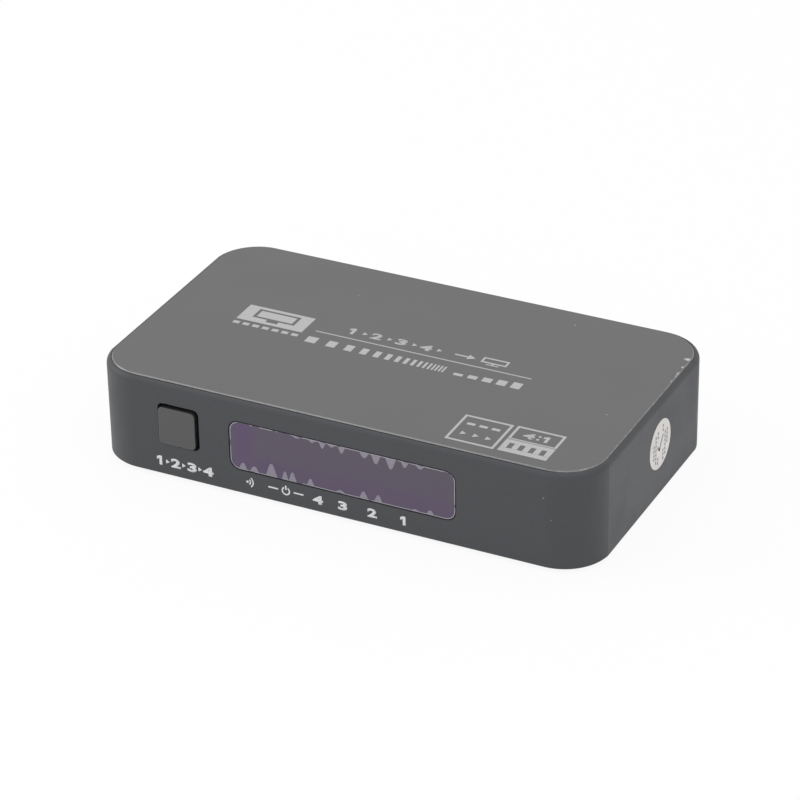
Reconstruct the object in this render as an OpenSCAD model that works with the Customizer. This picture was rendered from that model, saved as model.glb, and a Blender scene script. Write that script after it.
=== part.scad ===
// Video switch box: four picture sources in, one screen out, chosen with a push button.
// A moulded case with a grey top panel, a tinted indicator window and a row of sockets at the rear.
// Millimetres, +Z up, front wall towards -Y. The origin is under the middle of the box, on the
// surface that its rubber feet stand on.

/* [Case] */
// Width of the case over its side walls
case_w = 120; // [118:1:150]
// Depth of the case over its front and rear walls
case_d = 68; // [66:1:90]
// Height of the case, from the lower edge of its walls to the face of the top panel
case_h = 23.5; // [22.5:0.5:32]
// Radius of the upright corners
corner_r = 11; // [9:0.5:13]
// Thickness of the walls
wall_t = 2; // [1.8:0.1:2.6]
// Thickness of the roof under the top panel
roof_t = 1.6; // [1.2:0.1:2]
// Radius of the rounded upper edge
edge_r = 1.6; // [1.2:0.1:2]
// Chamfer round the lower edge of the walls
base_chamfer = 0.4; // [0.2:0.1:0.6]

/* [Top panel] */
// Thickness of the panel
panel_t = 0.8; // [0.6:0.1:1.2]
// Distance from the outer wall to the edge of the panel
panel_inset = 1.05; // [0.9:0.05:1.5]
// Gap between the panel and the rim round it
panel_gap = 0.12; // [0.1:0.02:0.2]
// Height of the panel's face above the crest of the rim
panel_proud = 0.12; // [0:0.02:0.2]
// Bright chamfer along the panel's upper edge
panel_chamfer = 0.25; // [0.1:0.05:0.4]
// Thickness of the adhesive sheet under the panel
adhesive_t = 0.15; // [0.1:0.05:0.2]
// Distance from the panel's edge to the edge of the adhesive sheet
adhesive_inset = 1.5; // [1:0.5:4]

/* [Bottom cover] */
// Thickness of the bottom cover
cover_t = 1.8; // [1.6:0.1:2.4]
// Thickness of the wall's lip beside the cover
lip_t = 1.2; // [1:0.1:1.4]
// Gap between the lip and the cover
cover_gap = 0.1; // [0.05:0.05:0.2]
// Width of a vent slot
vent_w = 1.4; // [1.2:0.2:2.4]
// Length of a vent slot
vent_l = 18; // [10:1:26]
// Distance from one vent slot to the next
vent_pitch = 5; // [4:0.5:6]
// Number of vent slots
vent_count = 9; // [3:2:11]

/* [Feet] */
// Diameter of a rubber foot
foot_d = 8; // [6:0.5:9]
// Height of a foot below the cover
foot_h = 1; // [0.8:0.1:2]
// Depth of the pocket that a foot is stuck in
foot_sink = 0.5; // [0.3:0.1:0.8]
// Distance from the side wall to the middle of a foot
foot_inset_x = 16; // [14:0.5:24]
// Distance from the front or rear wall to the middle of a foot
foot_inset_y = 13.5; // [12:0.5:18]
// Rounding of the foot's lower edge
foot_round = 0.4; // [0.2:0.1:0.5]

/* [Fasteners] */
// Radius of a case screw's head
case_head_r = 2.4; // [2.2:0.1:2.6]
// Radius of a case screw's shank
case_shank_r = 1.1; // [1:0.05:1.3]
// Length of a case screw under its head
case_screw_l = 9; // [7:0.5:12]
// Radius of a board screw's head
board_head_r = 2.2; // [2:0.1:2.4]
// Radius of a board screw's shank
board_shank_r = 1; // [0.9:0.05:1.2]
// Length of a board screw under its head
board_screw_l = 5; // [4:0.5:6]
// Height of a screw head
head_t = 0.9; // [0.7:0.1:1]
// Radius of a screw boss in the case
boss_r = 3; // [2.8:0.1:3.4]
// Distance from the side wall to the middle of a boss
boss_inset_x = 7; // [6.5:0.5:7.5]
// Distance from the front or rear wall to the middle of a boss
boss_inset_y = 12; // [10:0.5:14]
// Radius of a standoff under the board
standoff_r = 2.8; // [2.4:0.1:3.2]
// Distance from the board's side to the middle of a standoff
standoff_inset = 5.2; // [4.5:0.1:6]
// Distance from the middle of the case to a row of standoffs
standoff_y = 10; // [8:0.5:11]

/* [Select button] */
// Width and height of the button's face
button_w = 9.1; // [8:0.05:10]
// Corner radius of the button's face
button_r = 1.1; // [0.6:0.1:2]
// Middle of the button, from the left wall
button_x = 21.75; // [20:0.05:24]
// Middle of the button below the face of the top panel
button_z = 10.78; // [9.5:0.02:11]
// Gap round the button, if it were in the middle of its hole
button_gap = 0.48; // [0.45:0.01:0.6]
// Distance that the button hangs below and left of the middle of its hole
button_sag = 0.3; // [0:0.05:0.4]
// Height of the button's face in front of the wall
button_proud = 0.3; // [0.2:0.05:0.8]
// Width of the flange that keeps the button in
flange_lip = 1.5; // [1.2:0.1:1.8]
// Thickness of the flange
flange_t = 0.8; // [0.6:0.1:1]
// Length of the stem behind the flange
stem_l = 1; // [0.8:0.1:1.4]
// Travel of the button
press_travel = 0.3; // [0.2:0.05:0.5]

/* [Window] */
// Width of the indicator window
window_w = 54.2; // [50:0.1:56]
// Height of the indicator window
window_h = 11.9; // [10:0.1:12]
// Corner radius of the window
window_r = 2.4; // [1.5:0.1:3]
// Middle of the window, right of the middle of the case
window_x = 1.8; // [0:0.1:4]
// Middle of the window below the face of the top panel
window_z = 11.5; // [10.5:0.1:11.5]
// Thickness of the tinted lens
lens_t = 1.2; // [0.8:0.1:1.3]
// Thickness of the clear film on the lens
film_t = 0.1; // [0.05:0.05:0.15]
// Distance from the lens's edge to the edge of the film
film_inset = 0.15; // [0.1:0.05:0.3]
// Gap round the lens in its recess
window_gap = 0.15; // [0.1:0.05:0.25]
// Width of the ledge that the lens is stuck to
ledge_w = 1; // [0.8:0.1:1.4]

/* [Indicators] */
// Diameter of an indicator lamp
lamp_d = 3; // [2.8:0.1:3]
// Length of a lamp in front of its flange
lamp_l = 4.3; // [4:0.1:4.4]
// Thickness of a lamp's flange
lamp_flange_t = 1; // [0.8:0.1:1.2]
// Width of a lamp's flange past its body
lamp_flange_lip = 0.4; // [0.3:0.05:0.5]
// Depth of the lamp holder, front to back
holder_d = 3.8; // [3.5:0.1:4]
// Wall of the holder round its outermost lamps
holder_wall = 2.2; // [1.6:0.1:3]
// Radius of the holder's two locating pegs
holder_peg_r = 0.6; // [0.5:0.05:0.7]
// Clearance of a lamp in the holder
lamp_gap = 0.05; // [0.03:0.01:0.1]
// Width of the remote receiver
receiver_w = 6; // [5.8:0.1:7]
// Depth of the remote receiver's block
receiver_d = 4; // [3.6:0.1:4.4]
// Radius of the receiver's domed lens
receiver_lens_r = 2.4; // [2:0.1:2.5]

/* [Tact switch] */
// Width of the switch
switch_w = 6; // [5.8:0.1:6.4]
// Depth of the switch
switch_d = 3.5; // [3.4:0.1:3.8]
// Thickness of the switch's metal cover
switch_cover_t = 0.3; // [0.25:0.05:0.4]
// Radius of the plunger
plunger_r = 1.7; // [1.5:0.1:1.8]
// Length of the plunger in front of the switch
plunger_l = 1.5; // [1.4:0.1:1.8]
// Clearance of the plunger in the cover
plunger_gap = 0.1; // [0.05:0.05:0.15]
// Thickness of the snap dome
dome_t = 0.1; // [0.08:0.01:0.15]

/* [Board] */
// Thickness of the circuit board
board_t = 1.6; // [1.2:0.2:2]
// Gap between the board and the bosses
board_gap = 0.8; // [0.5:0.1:1]
// Gap between the board and the front wall
board_front_gap = 2.5; // [2.2:0.1:3]
// Gap between the board and the rear wall
board_rear_gap = 0.5; // [0.3:0.1:0.8]
// Length of a lead below the board
lead_tail = 1; // [0.6:0.1:1.4]
// Clearance of a lead in its hole
lead_gap = 0.2; // [0.1:0.05:0.3]

/* [Video sockets] */
// Width of a socket's mouth
port_w = 14; // [13.8:0.05:14.2]
// Height of a socket's mouth
port_h = 4.55; // [4.4:0.05:4.7]
// Slanted lower corners of the mouth
port_cut = 1.75; // [1.4:0.05:2]
// Thickness of the socket's sheet metal
port_sheet = 0.4; // [0.3:0.05:0.5]
// Length of a socket
port_l = 12; // [11.5:0.1:13]
// Height of the sockets behind the rear wall
port_proud = 0.5; // [0.3:0.1:1.2]
// Gap between a socket and the wall round it
port_gap = 0.3; // [0.2:0.05:0.4]
// Distance from the corner to the outermost socket's mouth
port_end = 1.5; // [1:0.1:2]
// Width of the tongue that carries the contacts
tongue_w = 10.9; // [10.6:0.1:11.2]
// Thickness of the tongue
tongue_t = 1.9; // [1.7:0.1:2.1]
// Distance from the mouth to the tip of the tongue
tongue_back = 1; // [0.6:0.1:1.6]
// Width of a contact
contact_w = 0.5; // [0.4:0.05:0.6]
// Thickness of a contact
contact_t = 0.12; // [0.08:0.02:0.16]

/* [Power jack] */
// Width of the jack
jack_w = 9; // [8.6:0.1:9.2]
// Height of the jack
jack_h = 11; // [10.5:0.1:11]
// Length of the jack's block
jack_l = 11.4; // [10.5:0.1:12]
// Height of the jack's bore above the board
jack_axis_h = 6.5; // [6:0.1:6.8]
// Diameter of the nose in the rear wall
jack_nose_d = 8; // [7.6:0.1:8.4]
// Diameter of the bore
jack_bore_d = 6.4; // [6.2:0.1:6.6]
// Depth of the bore
jack_bore_l = 9.5; // [9:0.1:10]
// Diameter of the centre pin
jack_pin_d = 2; // [1.8:0.1:2.5]
// Distance from the mouth to the tip of the pin
jack_pin_back = 0.6; // [0.4:0.1:1]
// Gap between the nose and the rear wall
jack_gap = 0.25; // [0.2:0.05:0.4]
// Distance from the corner to the jack
jack_end = 0.5; // [0.2:0.1:1]
// Gap between the jack and the roof
jack_head = 0.95; // [0.5:0.05:2]

/* [Inspection seal] */
// Diameter of the round paper seal on the right wall
seal_d = 11.5; // [8:0.5:14]
// Thickness of the seal
seal_t = 0.1; // [0.05:0.05:0.15]
// Middle of the seal behind the middle of the case
seal_y = 3.4; // [-8:0.1:8]
// Middle of the seal above the lower edge of the walls
seal_z = 12.9; // [10:0.1:13]

/* [Hidden] */
$fn = 64;
tiny = 0.01;
over = 1;

// Heights
base_z = foot_h;
top_z = base_z + case_h;
rim_z = top_z - panel_proud;
seat_z = top_z - panel_t - adhesive_t;
roof_z = seat_z - roof_t;
cover_z = base_z + cover_t;
board_z = roof_z - jack_head - jack_h;
board_low_z = board_z - board_t;
tail_z = board_low_z - lead_tail;
button_axis_z = top_z - button_z;
lamp_axis_z = top_z - window_z;
port_axis_z = board_z + port_sheet + port_h / 2;
jack_axis_z = board_z + jack_axis_h;

// Faces of the front and rear walls
front_y = -case_d / 2;
front_in_y = front_y + wall_t;
rear_y = case_d / 2;
rear_in_y = rear_y - wall_t;

// Case screws and their bosses
boss_x = case_w / 2 - boss_inset_x;
boss_y = case_d / 2 - boss_inset_y;
pilot_play = 0.05;
head_play = 0.3;
head_sink = 0.1;
case_seat_z = base_z + head_t + head_sink;
pilot_extra = 1;
rib_t = 1;
rib_drop = 4;
foot_play = 0.05;

// Circuit board
board_w = 2 * (boss_x - boss_r - board_gap);
board_front_y = front_in_y + board_front_gap;
board_rear_y = rear_in_y - board_rear_gap;
board_mid_y = (board_front_y + board_rear_y) / 2;
board_r = 1;
standoff_x = board_w / 2 - standoff_inset;
board_hole_play = 0.3;
board_hole_r = board_shank_r + board_hole_play;

// Select button, from its face to the tip of its stem
button_at_x = button_x - case_w / 2;
button_hole_w = button_w + 2 * button_gap;
button_hole_r = button_r + button_gap - button_sag;
flange_rest = 0.1;
flange_y = front_in_y + flange_rest;
stem_r = 2;
stem_y = flange_y + flange_t;
stem_tip_y = stem_y + stem_l;
stem_play = 0.05;

// Tact switch, from the tip of its plunger to its back
plunger_tip_y = stem_tip_y + stem_play;
switch_y = plunger_tip_y + plunger_l;
switch_body_y = switch_y + switch_cover_t;
switch_back_y = switch_y + switch_d;
cavity_r = 2.4;
cavity_gap = 0.2;
plunger_flange_r = cavity_r - cavity_gap;
plunger_flange_t = 0.5;
plunger_flange_y = switch_body_y + cavity_gap;
plunger_nub_r = 0.6;
plunger_nub_l = 0.3;
dome_play = 0.05;
dome_room = 0.45;
dome_apex_y = plunger_flange_y + plunger_flange_t + plunger_nub_l + dome_play;
dome_rim_y = dome_apex_y + press_travel + dome_room;
dome_r = cavity_r - cavity_gap;
dome_h = dome_rim_y - dome_apex_y;
dome_sphere_r = (dome_r * dome_r + dome_h * dome_h) / (2 * dome_h);
wing_gap = 0.05;
wing_w = 1.2;
switch_lead_w = 0.6;
switch_lead_x = 2.2;
switch_lead_inset = 0.8;
switch_lead_y = switch_back_y - switch_lead_inset;

// Window, lens and film
lens_y = front_y + film_t;
lens_back_y = lens_y + lens_t;

// Indicator lamps and remote receiver, measured across the window from its middle
lamp_names = ["power", "input_4", "input_3", "input_2", "input_1"];
lamp_offsets = [-13.7, -5.8, 0.2, 7.3, 14.7];
receiver_offset = -22.4;
holder_stand = 1;
holder_y = front_in_y + holder_stand;
holder_back_y = holder_y + holder_d;
holder_top = 1.2;
peg_play = 0.05;
holder_left_x = window_x + lamp_offsets[0] - lamp_d / 2 - holder_wall;
holder_right_x = window_x + lamp_offsets[4] + lamp_d / 2 + holder_wall;
peg_inset = 1.2;
holder_peg_y = holder_back_y - peg_inset;
holder_peg_x = [holder_left_x + peg_inset, holder_right_x - peg_inset];
lead_w = 0.5;
lamp_lead_pitch = 2.54;
lamp_lead_reach = 1.5;
lamp_back_y = holder_back_y + lamp_flange_t;
lamp_lead_y = lamp_back_y + lamp_lead_reach - lead_w / 2;
receiver_x = window_x + receiver_offset;
receiver_lift = 0.8;
receiver_top = 4.5;
receiver_stand = 0.4;
receiver_y = front_in_y + receiver_lens_r + receiver_stand;
receiver_lead_y = receiver_y + receiver_d / 2;
receiver_lead_pitch = 2.54;

// Video sockets, from the right-hand corner towards the power jack. They share the flat of the rear
// wall with the jack, in equal steps.
port_names = ["video_in_1", "video_in_2", "video_in_3", "video_in_4", "video_out"];
port_count = len(port_names);
row_l = case_w - 2 * corner_r - port_end - jack_end;
row_gap = (row_l - port_count * port_w - jack_w) / port_count;
port_pitch = port_w + row_gap;
port_first_x = case_w / 2 - corner_r - port_end - port_w / 2;
port_mouth_y = rear_y + port_proud;
port_back_y = port_mouth_y - port_l;
port_block_l = 4;
port_fit = 0.05;
port_leg_w = 1.2;
port_leg_from_back = [1.6, 7];
contact_pitch = 1;
contact_back = 0.4;
upper_contact_count = 10;
lower_contact_count = 9;

// Power jack
jack_x = corner_r + jack_end + jack_w / 2 - case_w / 2;
jack_mouth_y = rear_y;
jack_face_gap = 0.3;
jack_face_y = rear_in_y - jack_face_gap;
jack_back_y = jack_face_y - jack_l;
jack_bore_end_y = jack_mouth_y - jack_bore_l;
jack_tag_w = 2.2;
jack_tag_t = 0.6;
jack_spring_w = 2.4;
jack_spring_t = 0.3;
jack_slot_play = 0.1;
jack_root_lip = 0.2;
jack_root_r = jack_pin_d / 2 + jack_root_lip;
jack_spring_z = jack_axis_z - jack_bore_d / 2 - jack_spring_t;
jack_tag_inset = 0.6;
jack_pin_tag_y = jack_back_y + jack_tag_t + jack_tag_inset;

// Components on the board. The signal parts keep their distance from the sockets, the power parts from
// the jack and the control parts from the remote receiver.
memory_back = 6;
memory_chip_y = port_back_y - memory_back;
memory_chip_size = [4.9, 3.9, 1.6];
switch_chip_back = 18.8;
switch_chip_at = [port_x(2), port_back_y - switch_chip_back];
switch_chip_size = [10, 10, 1.4];
power_back = 14.8;
power_step = 9;
power_y = port_back_y - power_back;
capacitor_side = 8;
capacitor_at = [for (i = [0, 1]) [jack_x + capacitor_side + i * power_step, power_y]];
capacitor_r = 3.15;
capacitor_h = 7.7;
inductor_at = [jack_x + 3 * power_step, power_y];
inductor_size = [6, 6, 3];
regulator_front = 14;
regulator_at = [jack_x + capacitor_side, power_y - regulator_front];
regulator_size = [4.9, 3.9, 1.6];
control_back = 19.2;
control_chip_at = [receiver_x, receiver_lead_y + control_back];
control_chip_size = [12.8, 7.5, 2.3];
crystal_side = 16.4;
crystal_front = 6;
crystal_at = [control_chip_at[0] + crystal_side, control_chip_at[1] - crystal_front];
crystal_l = 11;
crystal_w = 4.6;
crystal_h = 3.5;
chip_lift = 0.1;
leg_reach = 1;
leg_t = 0.2;
leg_w = 0.4;
leg_pitch = 1.27;
fine_leg_w = 0.22;
fine_leg_pitch = 0.5;
pad_t = 0.3;
sink_w = 16;
sink_base_t = 1.4;
sink_h = 6;
fin_count = 6;
fin_t = 0.9;

// Shapes that repeat

// Flat rectangle with round corners
module rounded(w, d, r) {
    square([w - 2 * r, d], center = true);
    square([w, d - 2 * r], center = true);
    for (x = [-1, 1], y = [-1, 1])
        translate([x * (w / 2 - r), y * (d / 2 - r)]) circle(r);
}

// Flat slot with round ends, along Y
module slot(w, l) {
    square([w, l - w], center = true);
    for (y = [-1, 1]) translate([0, y * (l - w) / 2]) circle(w / 2);
}

// Upright block on the flat shape of its children, from one height to another
module upright(z0, z1) {
    translate([0, 0, z0]) linear_extrude(z1 - z0) children();
}

// Block along Y on the flat shape of its children, which is drawn in X and Z
module along_y(y0, y1) {
    translate([0, y1, 0]) rotate([90, 0, 0]) linear_extrude(y1 - y0) children();
}

// Box between two corners
module span(low, high) {
    translate(low) cube(high - low);
}

// Sweeps a profile round a rectangle with round corners. The profile's X is measured from the middle
// of a corner, so the rectangle's own edge is at x = r.
module round_the_edge(w, d, r) {
    for (i = [0 : 3]) {
        side = i % 2 == 0;
        run = side ? d - 2 * r : w - 2 * r;
        off = side ? w / 2 - r : d / 2 - r;
        x = (i == 0 || i == 3 ? 1 : -1) * (w / 2 - r);
        y = (i < 2 ? 1 : -1) * (d / 2 - r);
        translate([x, y, 0]) rotate([0, 0, 90 * i]) rotate_extrude(angle = 90) children();
        rotate([0, 0, 90 * i]) translate([off, run / 2, 0]) rotate([90, 0, 0]) linear_extrude(run) children();
    }
}

// Copies its children to the four corners of a rectangle round the origin
module at_corners(x, y) {
    for (i = [-1, 1], j = [-1, 1]) translate([i * x, j * y, 0]) children();
}

// Pan-head screw with a cross recess, head up, bearing on z = 0
module pan_screw(head_r, shank_r, length) {
    recess_w = 0.6;
    recess_l = 1.3 * head_r;
    recess_depth = 0.5 * head_t;
    difference() {
        union() {
            cylinder(r = head_r, h = head_t / 2);
            translate([0, 0, head_t / 2]) cylinder(r1 = head_r, r2 = 0.8 * head_r, h = head_t / 2);
            translate([0, 0, -length]) cylinder(r = shank_r, h = length + tiny);
        }
        for (a = [0, 90])
            rotate(a) translate([0, 0, head_t])
                cube([recess_l, recess_w, 2 * recess_depth], center = true);
    }
}

// Outline of a socket's mouth, grown outwards by t
function port_outline(t) =
    let (a = port_w / 2 + t, b = port_h / 2 + t, c = port_cut + t * (2 - sqrt(2)))
    [[-a, b], [-a, c - b], [c - a, -b], [a - c, -b], [a, c - b], [a, b]];

function port_x(i) = port_first_x - i * port_pitch;

// Case

// Section of the wall: rounded above, rebated for the panel, thinned to a lip beside the cover
module wall_section() {
    rebate_x = corner_r - panel_inset + panel_gap;
    difference() {
        translate([corner_r - wall_t, base_z]) square([wall_t, rim_z - base_z]);
        translate([corner_r - edge_r, rim_z - edge_r]) difference() {
            square(edge_r + over);
            circle(edge_r);
        }
        translate([0, seat_z]) square([rebate_x, case_h]);
        translate([0, base_z - over]) square([corner_r - lip_t, cover_t + over]);
        translate([corner_r, base_z]) rotate(45) square(base_chamfer * sqrt(2), center = true);
    }
}

// Screw boss under the roof, with a rib to the side wall
module case_boss(side) {
    upright(cover_z, roof_z + roof_t / 2) circle(boss_r);
    rib_end = boss_inset_x - wall_t / 2;
    span([min(0, side * rib_end), -rib_t / 2, cover_z + rib_drop],
         [max(0, side * rib_end), rib_t / 2, roof_z + roof_t / 2]);
}

module case_openings() {
    // Button hole
    translate([button_at_x + button_sag, 0, button_axis_z + button_sag])
        along_y(front_y - over, front_in_y + over) rounded(button_hole_w, button_hole_w, button_hole_r);
    // Window recess, and the opening inside its ledge
    translate([window_x, 0, lamp_axis_z]) {
        along_y(front_y - over, lens_back_y)
            rounded(window_w + 2 * window_gap, window_h + 2 * window_gap, window_r + window_gap);
        along_y(front_y - over, front_in_y + over)
            rounded(window_w - 2 * ledge_w, window_h - 2 * ledge_w, window_r - ledge_w + tiny);
    }
    // Sockets and power jack
    for (i = [0 : port_count - 1])
        translate([port_x(i), 0, port_axis_z])
            along_y(rear_in_y - over, rear_y + over) polygon(port_outline(port_sheet + port_gap));
    translate([jack_x, 0, jack_axis_z])
        along_y(rear_in_y - over, rear_y + over) circle(jack_nose_d / 2 + jack_gap);
    // Pilot holes in the bosses
    at_corners(boss_x, boss_y)
        upright(cover_z - over, case_seat_z + case_screw_l + pilot_extra) circle(case_shank_r + pilot_play);
}

module top_shell() {
    color("#515357") difference() {
        union() {
            round_the_edge(case_w, case_d, corner_r) wall_section();
            upright(roof_z, seat_z) rounded(case_w - wall_t, case_d - wall_t, corner_r - wall_t / 2);
            for (side = [-1, 1], y = [-boss_y, boss_y])
                translate([side * boss_x, y, 0]) case_boss(side);
        }
        case_openings();
    }
}

module top_panel() {
    w = case_w - 2 * panel_inset;
    d = case_d - 2 * panel_inset;
    r = corner_r - panel_inset;
    band = 3;
    color("#747474") translate([0, 0, top_z - panel_t]) {
        round_the_edge(w, d, r)
            polygon([[r - band, 0], [r, 0], [r, panel_t - panel_chamfer], [r - panel_chamfer, panel_t],
                     [r - band, panel_t]]);
        linear_extrude(panel_t) rounded(w - band, d - band, r - band / 2);
    }
}

module panel_adhesive() {
    inset = panel_inset + adhesive_inset;
    color("#d8d4c4") upright(seat_z, seat_z + adhesive_t)
        rounded(case_w - 2 * inset, case_d - 2 * inset, corner_r - inset);
}

module bottom_cover() {
    inset = lip_t + cover_gap;
    color("#3c3d40") difference() {
        union() {
            upright(base_z, cover_z) rounded(case_w - 2 * inset, case_d - 2 * inset, corner_r - inset);
            at_corners(standoff_x, standoff_y) upright(cover_z - tiny, board_low_z) circle(standoff_r);
        }
        // Screw holes, with a counterbore below
        at_corners(boss_x, boss_y) {
            upright(base_z - over, cover_z + over) circle(case_shank_r + head_play);
            upright(base_z - over, case_seat_z) circle(case_head_r + head_play);
        }
        // Pilot holes in the standoffs
        at_corners(standoff_x, standoff_y)
            upright(board_z - board_screw_l - pilot_extra, board_low_z + over)
                circle(board_shank_r + pilot_play);
        // Pockets for the feet
        at_corners(case_w / 2 - foot_inset_x, case_d / 2 - foot_inset_y)
            upright(base_z - over, base_z + foot_sink) circle(foot_d / 2 + foot_play);
        // Vents
        for (i = [0 : vent_count - 1])
            translate([(i - (vent_count - 1) / 2) * vent_pitch, 0, 0])
                upright(base_z - over, cover_z + over) slot(vent_w, vent_l);
    }
}

// Rubber foot in its pocket, at one corner of the cover
module rubber_foot(x, y) {
    color("#1b1b1c")
        translate([x * (case_w / 2 - foot_inset_x), y * (case_d / 2 - foot_inset_y), 0])
            rotate_extrude() {
                r = foot_d / 2;
                translate([0, foot_round]) square([r, foot_h + foot_sink - foot_round]);
                square([r - foot_round, foot_h]);
                translate([r - foot_round, foot_round]) circle(foot_round);
            }
}

module case_screws() {
    color("#2b2b2d") at_corners(boss_x, boss_y)
        translate([0, 0, case_seat_z]) rotate([180, 0, 0]) pan_screw(case_head_r, case_shank_r, case_screw_l);
}

module inspection_seal() {
    color("#d9d7d2") translate([case_w / 2, seal_y, base_z + seal_z])
        rotate([0, 90, 0]) cylinder(d = seal_d, h = seal_t);
}

// Window

module window_lens() {
    color("#5e5468", 0.85) translate([window_x, 0, lamp_axis_z])
        along_y(lens_y, lens_back_y) rounded(window_w, window_h, window_r);
}

module window_film() {
    color("#8c8398", 0.5) translate([window_x, 0, lamp_axis_z])
        along_y(front_y, lens_y)
            rounded(window_w - 2 * film_inset, window_h - 2 * film_inset, window_r - film_inset);
}

// Select button and the tact switch behind it

module select_button() {
    flange_w = button_w + 2 * flange_lip;
    color("#4e4f51") translate([button_at_x, 0, button_axis_z]) {
        along_y(front_y - button_proud, flange_y + tiny) rounded(button_w, button_w, button_r);
        along_y(flange_y, stem_y) rounded(flange_w, flange_w, button_r);
        along_y(stem_y - tiny, stem_tip_y) circle(stem_r);
    }
}

module switch_plunger() {
    color("#1d1d1f") translate([button_at_x, 0, button_axis_z]) {
        along_y(plunger_tip_y, plunger_flange_y + tiny) circle(plunger_r);
        along_y(plunger_flange_y, plunger_flange_y + plunger_flange_t) circle(plunger_flange_r);
        along_y(plunger_flange_y + plunger_flange_t - tiny,
                plunger_flange_y + plunger_flange_t + plunger_nub_l) circle(plunger_nub_r);
    }
}

// Thin domed spring that snaps over and pushes the plunger back
module switch_dome() {
    low = dome_h - dome_sphere_r;
    color("#b9b9b4") translate([button_at_x, dome_rim_y, button_axis_z]) rotate([90, 0, 0])
        rotate_extrude() intersection() {
            difference() {
                translate([0, low]) circle(dome_sphere_r);
                translate([0, low]) circle(dome_sphere_r - dome_t);
            }
            square([dome_r, dome_h]);
        }
}

// Metal cover with two wings, each with a leg into the board
module switch_cover() {
    wing_x = switch_w / 2 + wing_gap;
    color("#a9aaab") translate([button_at_x, 0, 0]) {
        difference() {
            span([-wing_x - switch_cover_t, switch_y, board_z + wing_w],
                 [wing_x + switch_cover_t, switch_body_y, button_axis_z + switch_w / 2]);
            translate([0, 0, button_axis_z])
                along_y(switch_y - over, switch_body_y + over) circle(plunger_r + plunger_gap);
        }
        for (side = [-1, 1]) {
            near = side * wing_x;
            far = side * (wing_x + switch_cover_t);
            span([min(near, far), switch_y, board_z + wing_w],
                 [max(near, far), switch_back_y - wing_w, button_axis_z + switch_w / 2]);
            span([min(near, far), switch_y + wing_w / 2, tail_z],
                 [max(near, far), switch_y + 1.5 * wing_w, board_z + 2 * wing_w]);
        }
    }
}

module switch_housing() {
    color("#202022") translate([button_at_x, 0, 0]) difference() {
        span([-switch_w / 2, switch_body_y, board_z],
             [switch_w / 2, switch_back_y, button_axis_z + switch_w / 2]);
        translate([0, 0, button_axis_z]) along_y(switch_body_y - over, dome_rim_y) circle(cavity_r);
    }
}

module switch_leads() {
    color("#c2c2bd") for (side = [-1, 1])
        translate([button_at_x + side * switch_lead_x, switch_lead_y, 0])
            upright(tail_z, board_z) square(switch_lead_w, center = true);
}

// Circuit board

module board_holes() {
    module hole(x, y, r) {
        translate([x, y, 0]) upright(board_low_z - over, board_z + over) circle(r);
    }
    module leg_slot(x, y, w, l) {
        translate([x, y, 0]) upright(board_low_z - over, board_z + over)
            square([w + 2 * lead_gap, l + 2 * lead_gap], center = true);
    }
    square_r = sqrt(2) / 2;
    at_corners(standoff_x, standoff_y) hole(0, 0, board_hole_r);
    for (x = lamp_offsets, side = [-1, 1])
        hole(window_x + x + side * lamp_lead_pitch / 2, lamp_lead_y, lead_w * square_r + lead_gap);
    for (i = [-1 : 1])
        hole(receiver_x + i * receiver_lead_pitch, receiver_lead_y, lead_w * square_r + lead_gap);
    for (x = holder_peg_x) hole(x, holder_peg_y, holder_peg_r + peg_play);
    for (side = [-1, 1]) {
        hole(button_at_x + side * switch_lead_x, switch_lead_y, switch_lead_w * square_r + lead_gap);
        leg_slot(button_at_x + side * (switch_w / 2 + wing_gap + switch_cover_t / 2), switch_y + wing_w,
                 switch_cover_t, wing_w);
    }
    for (i = [0 : port_count - 1], side = [-1, 1], back = port_leg_from_back)
        leg_slot(port_x(i) + side * (port_w + port_sheet) / 2, port_back_y + back, port_sheet, port_leg_w);
    leg_slot(jack_x, jack_pin_tag_y, jack_tag_w, jack_tag_t);
    leg_slot(jack_x, jack_bore_end_y + jack_spring_t / 2, jack_spring_w, jack_spring_t);
}

module main_board() {
    color("#1f5a35") difference() {
        translate([0, board_mid_y, 0]) upright(board_low_z, board_z)
            rounded(board_w, board_rear_y - board_front_y, board_r);
        board_holes();
    }
}

module board_screws() {
    color("#b4b5b6") at_corners(standoff_x, standoff_y)
        translate([0, 0, board_z]) pan_screw(board_head_r, board_shank_r, board_screw_l);
}

// Video sockets

module port_shell(i) {
    color("#b3b4b6") translate([port_x(i), 0, 0]) {
        translate([0, 0, port_axis_z]) difference() {
            along_y(port_back_y, port_mouth_y) polygon(port_outline(port_sheet));
            along_y(port_back_y + port_sheet, port_mouth_y + over) polygon(port_outline(0));
        }
        for (side = [-1, 1], back = port_leg_from_back)
            translate([side * (port_w + port_sheet) / 2, port_back_y + back, 0])
                upright(tail_z, port_axis_z) square([port_sheet, port_leg_w], center = true);
    }
}

module port_insulator(i) {
    y0 = port_back_y + port_sheet + port_fit;
    color("#19191a") translate([port_x(i), 0, port_axis_z]) {
        along_y(y0, y0 + port_block_l) polygon(port_outline(-port_fit));
        along_y(y0 + port_block_l - tiny, port_mouth_y - tongue_back)
            square([tongue_w, tongue_t], center = true);
    }
}

module port_contacts(i) {
    y0 = port_back_y + port_sheet + port_fit + port_block_l;
    y1 = port_mouth_y - tongue_back - contact_back;
    color("#c8a24a") translate([port_x(i), 0, port_axis_z])
        for (row = [[1, upper_contact_count], [-1, lower_contact_count]], k = [0 : row[1] - 1])
            translate([(k - (row[1] - 1) / 2) * contact_pitch, 0, row[0] * (tongue_t + contact_t) / 2])
                along_y(y0, y1) square([contact_w, contact_t], center = true);
}

// Power jack

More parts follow.
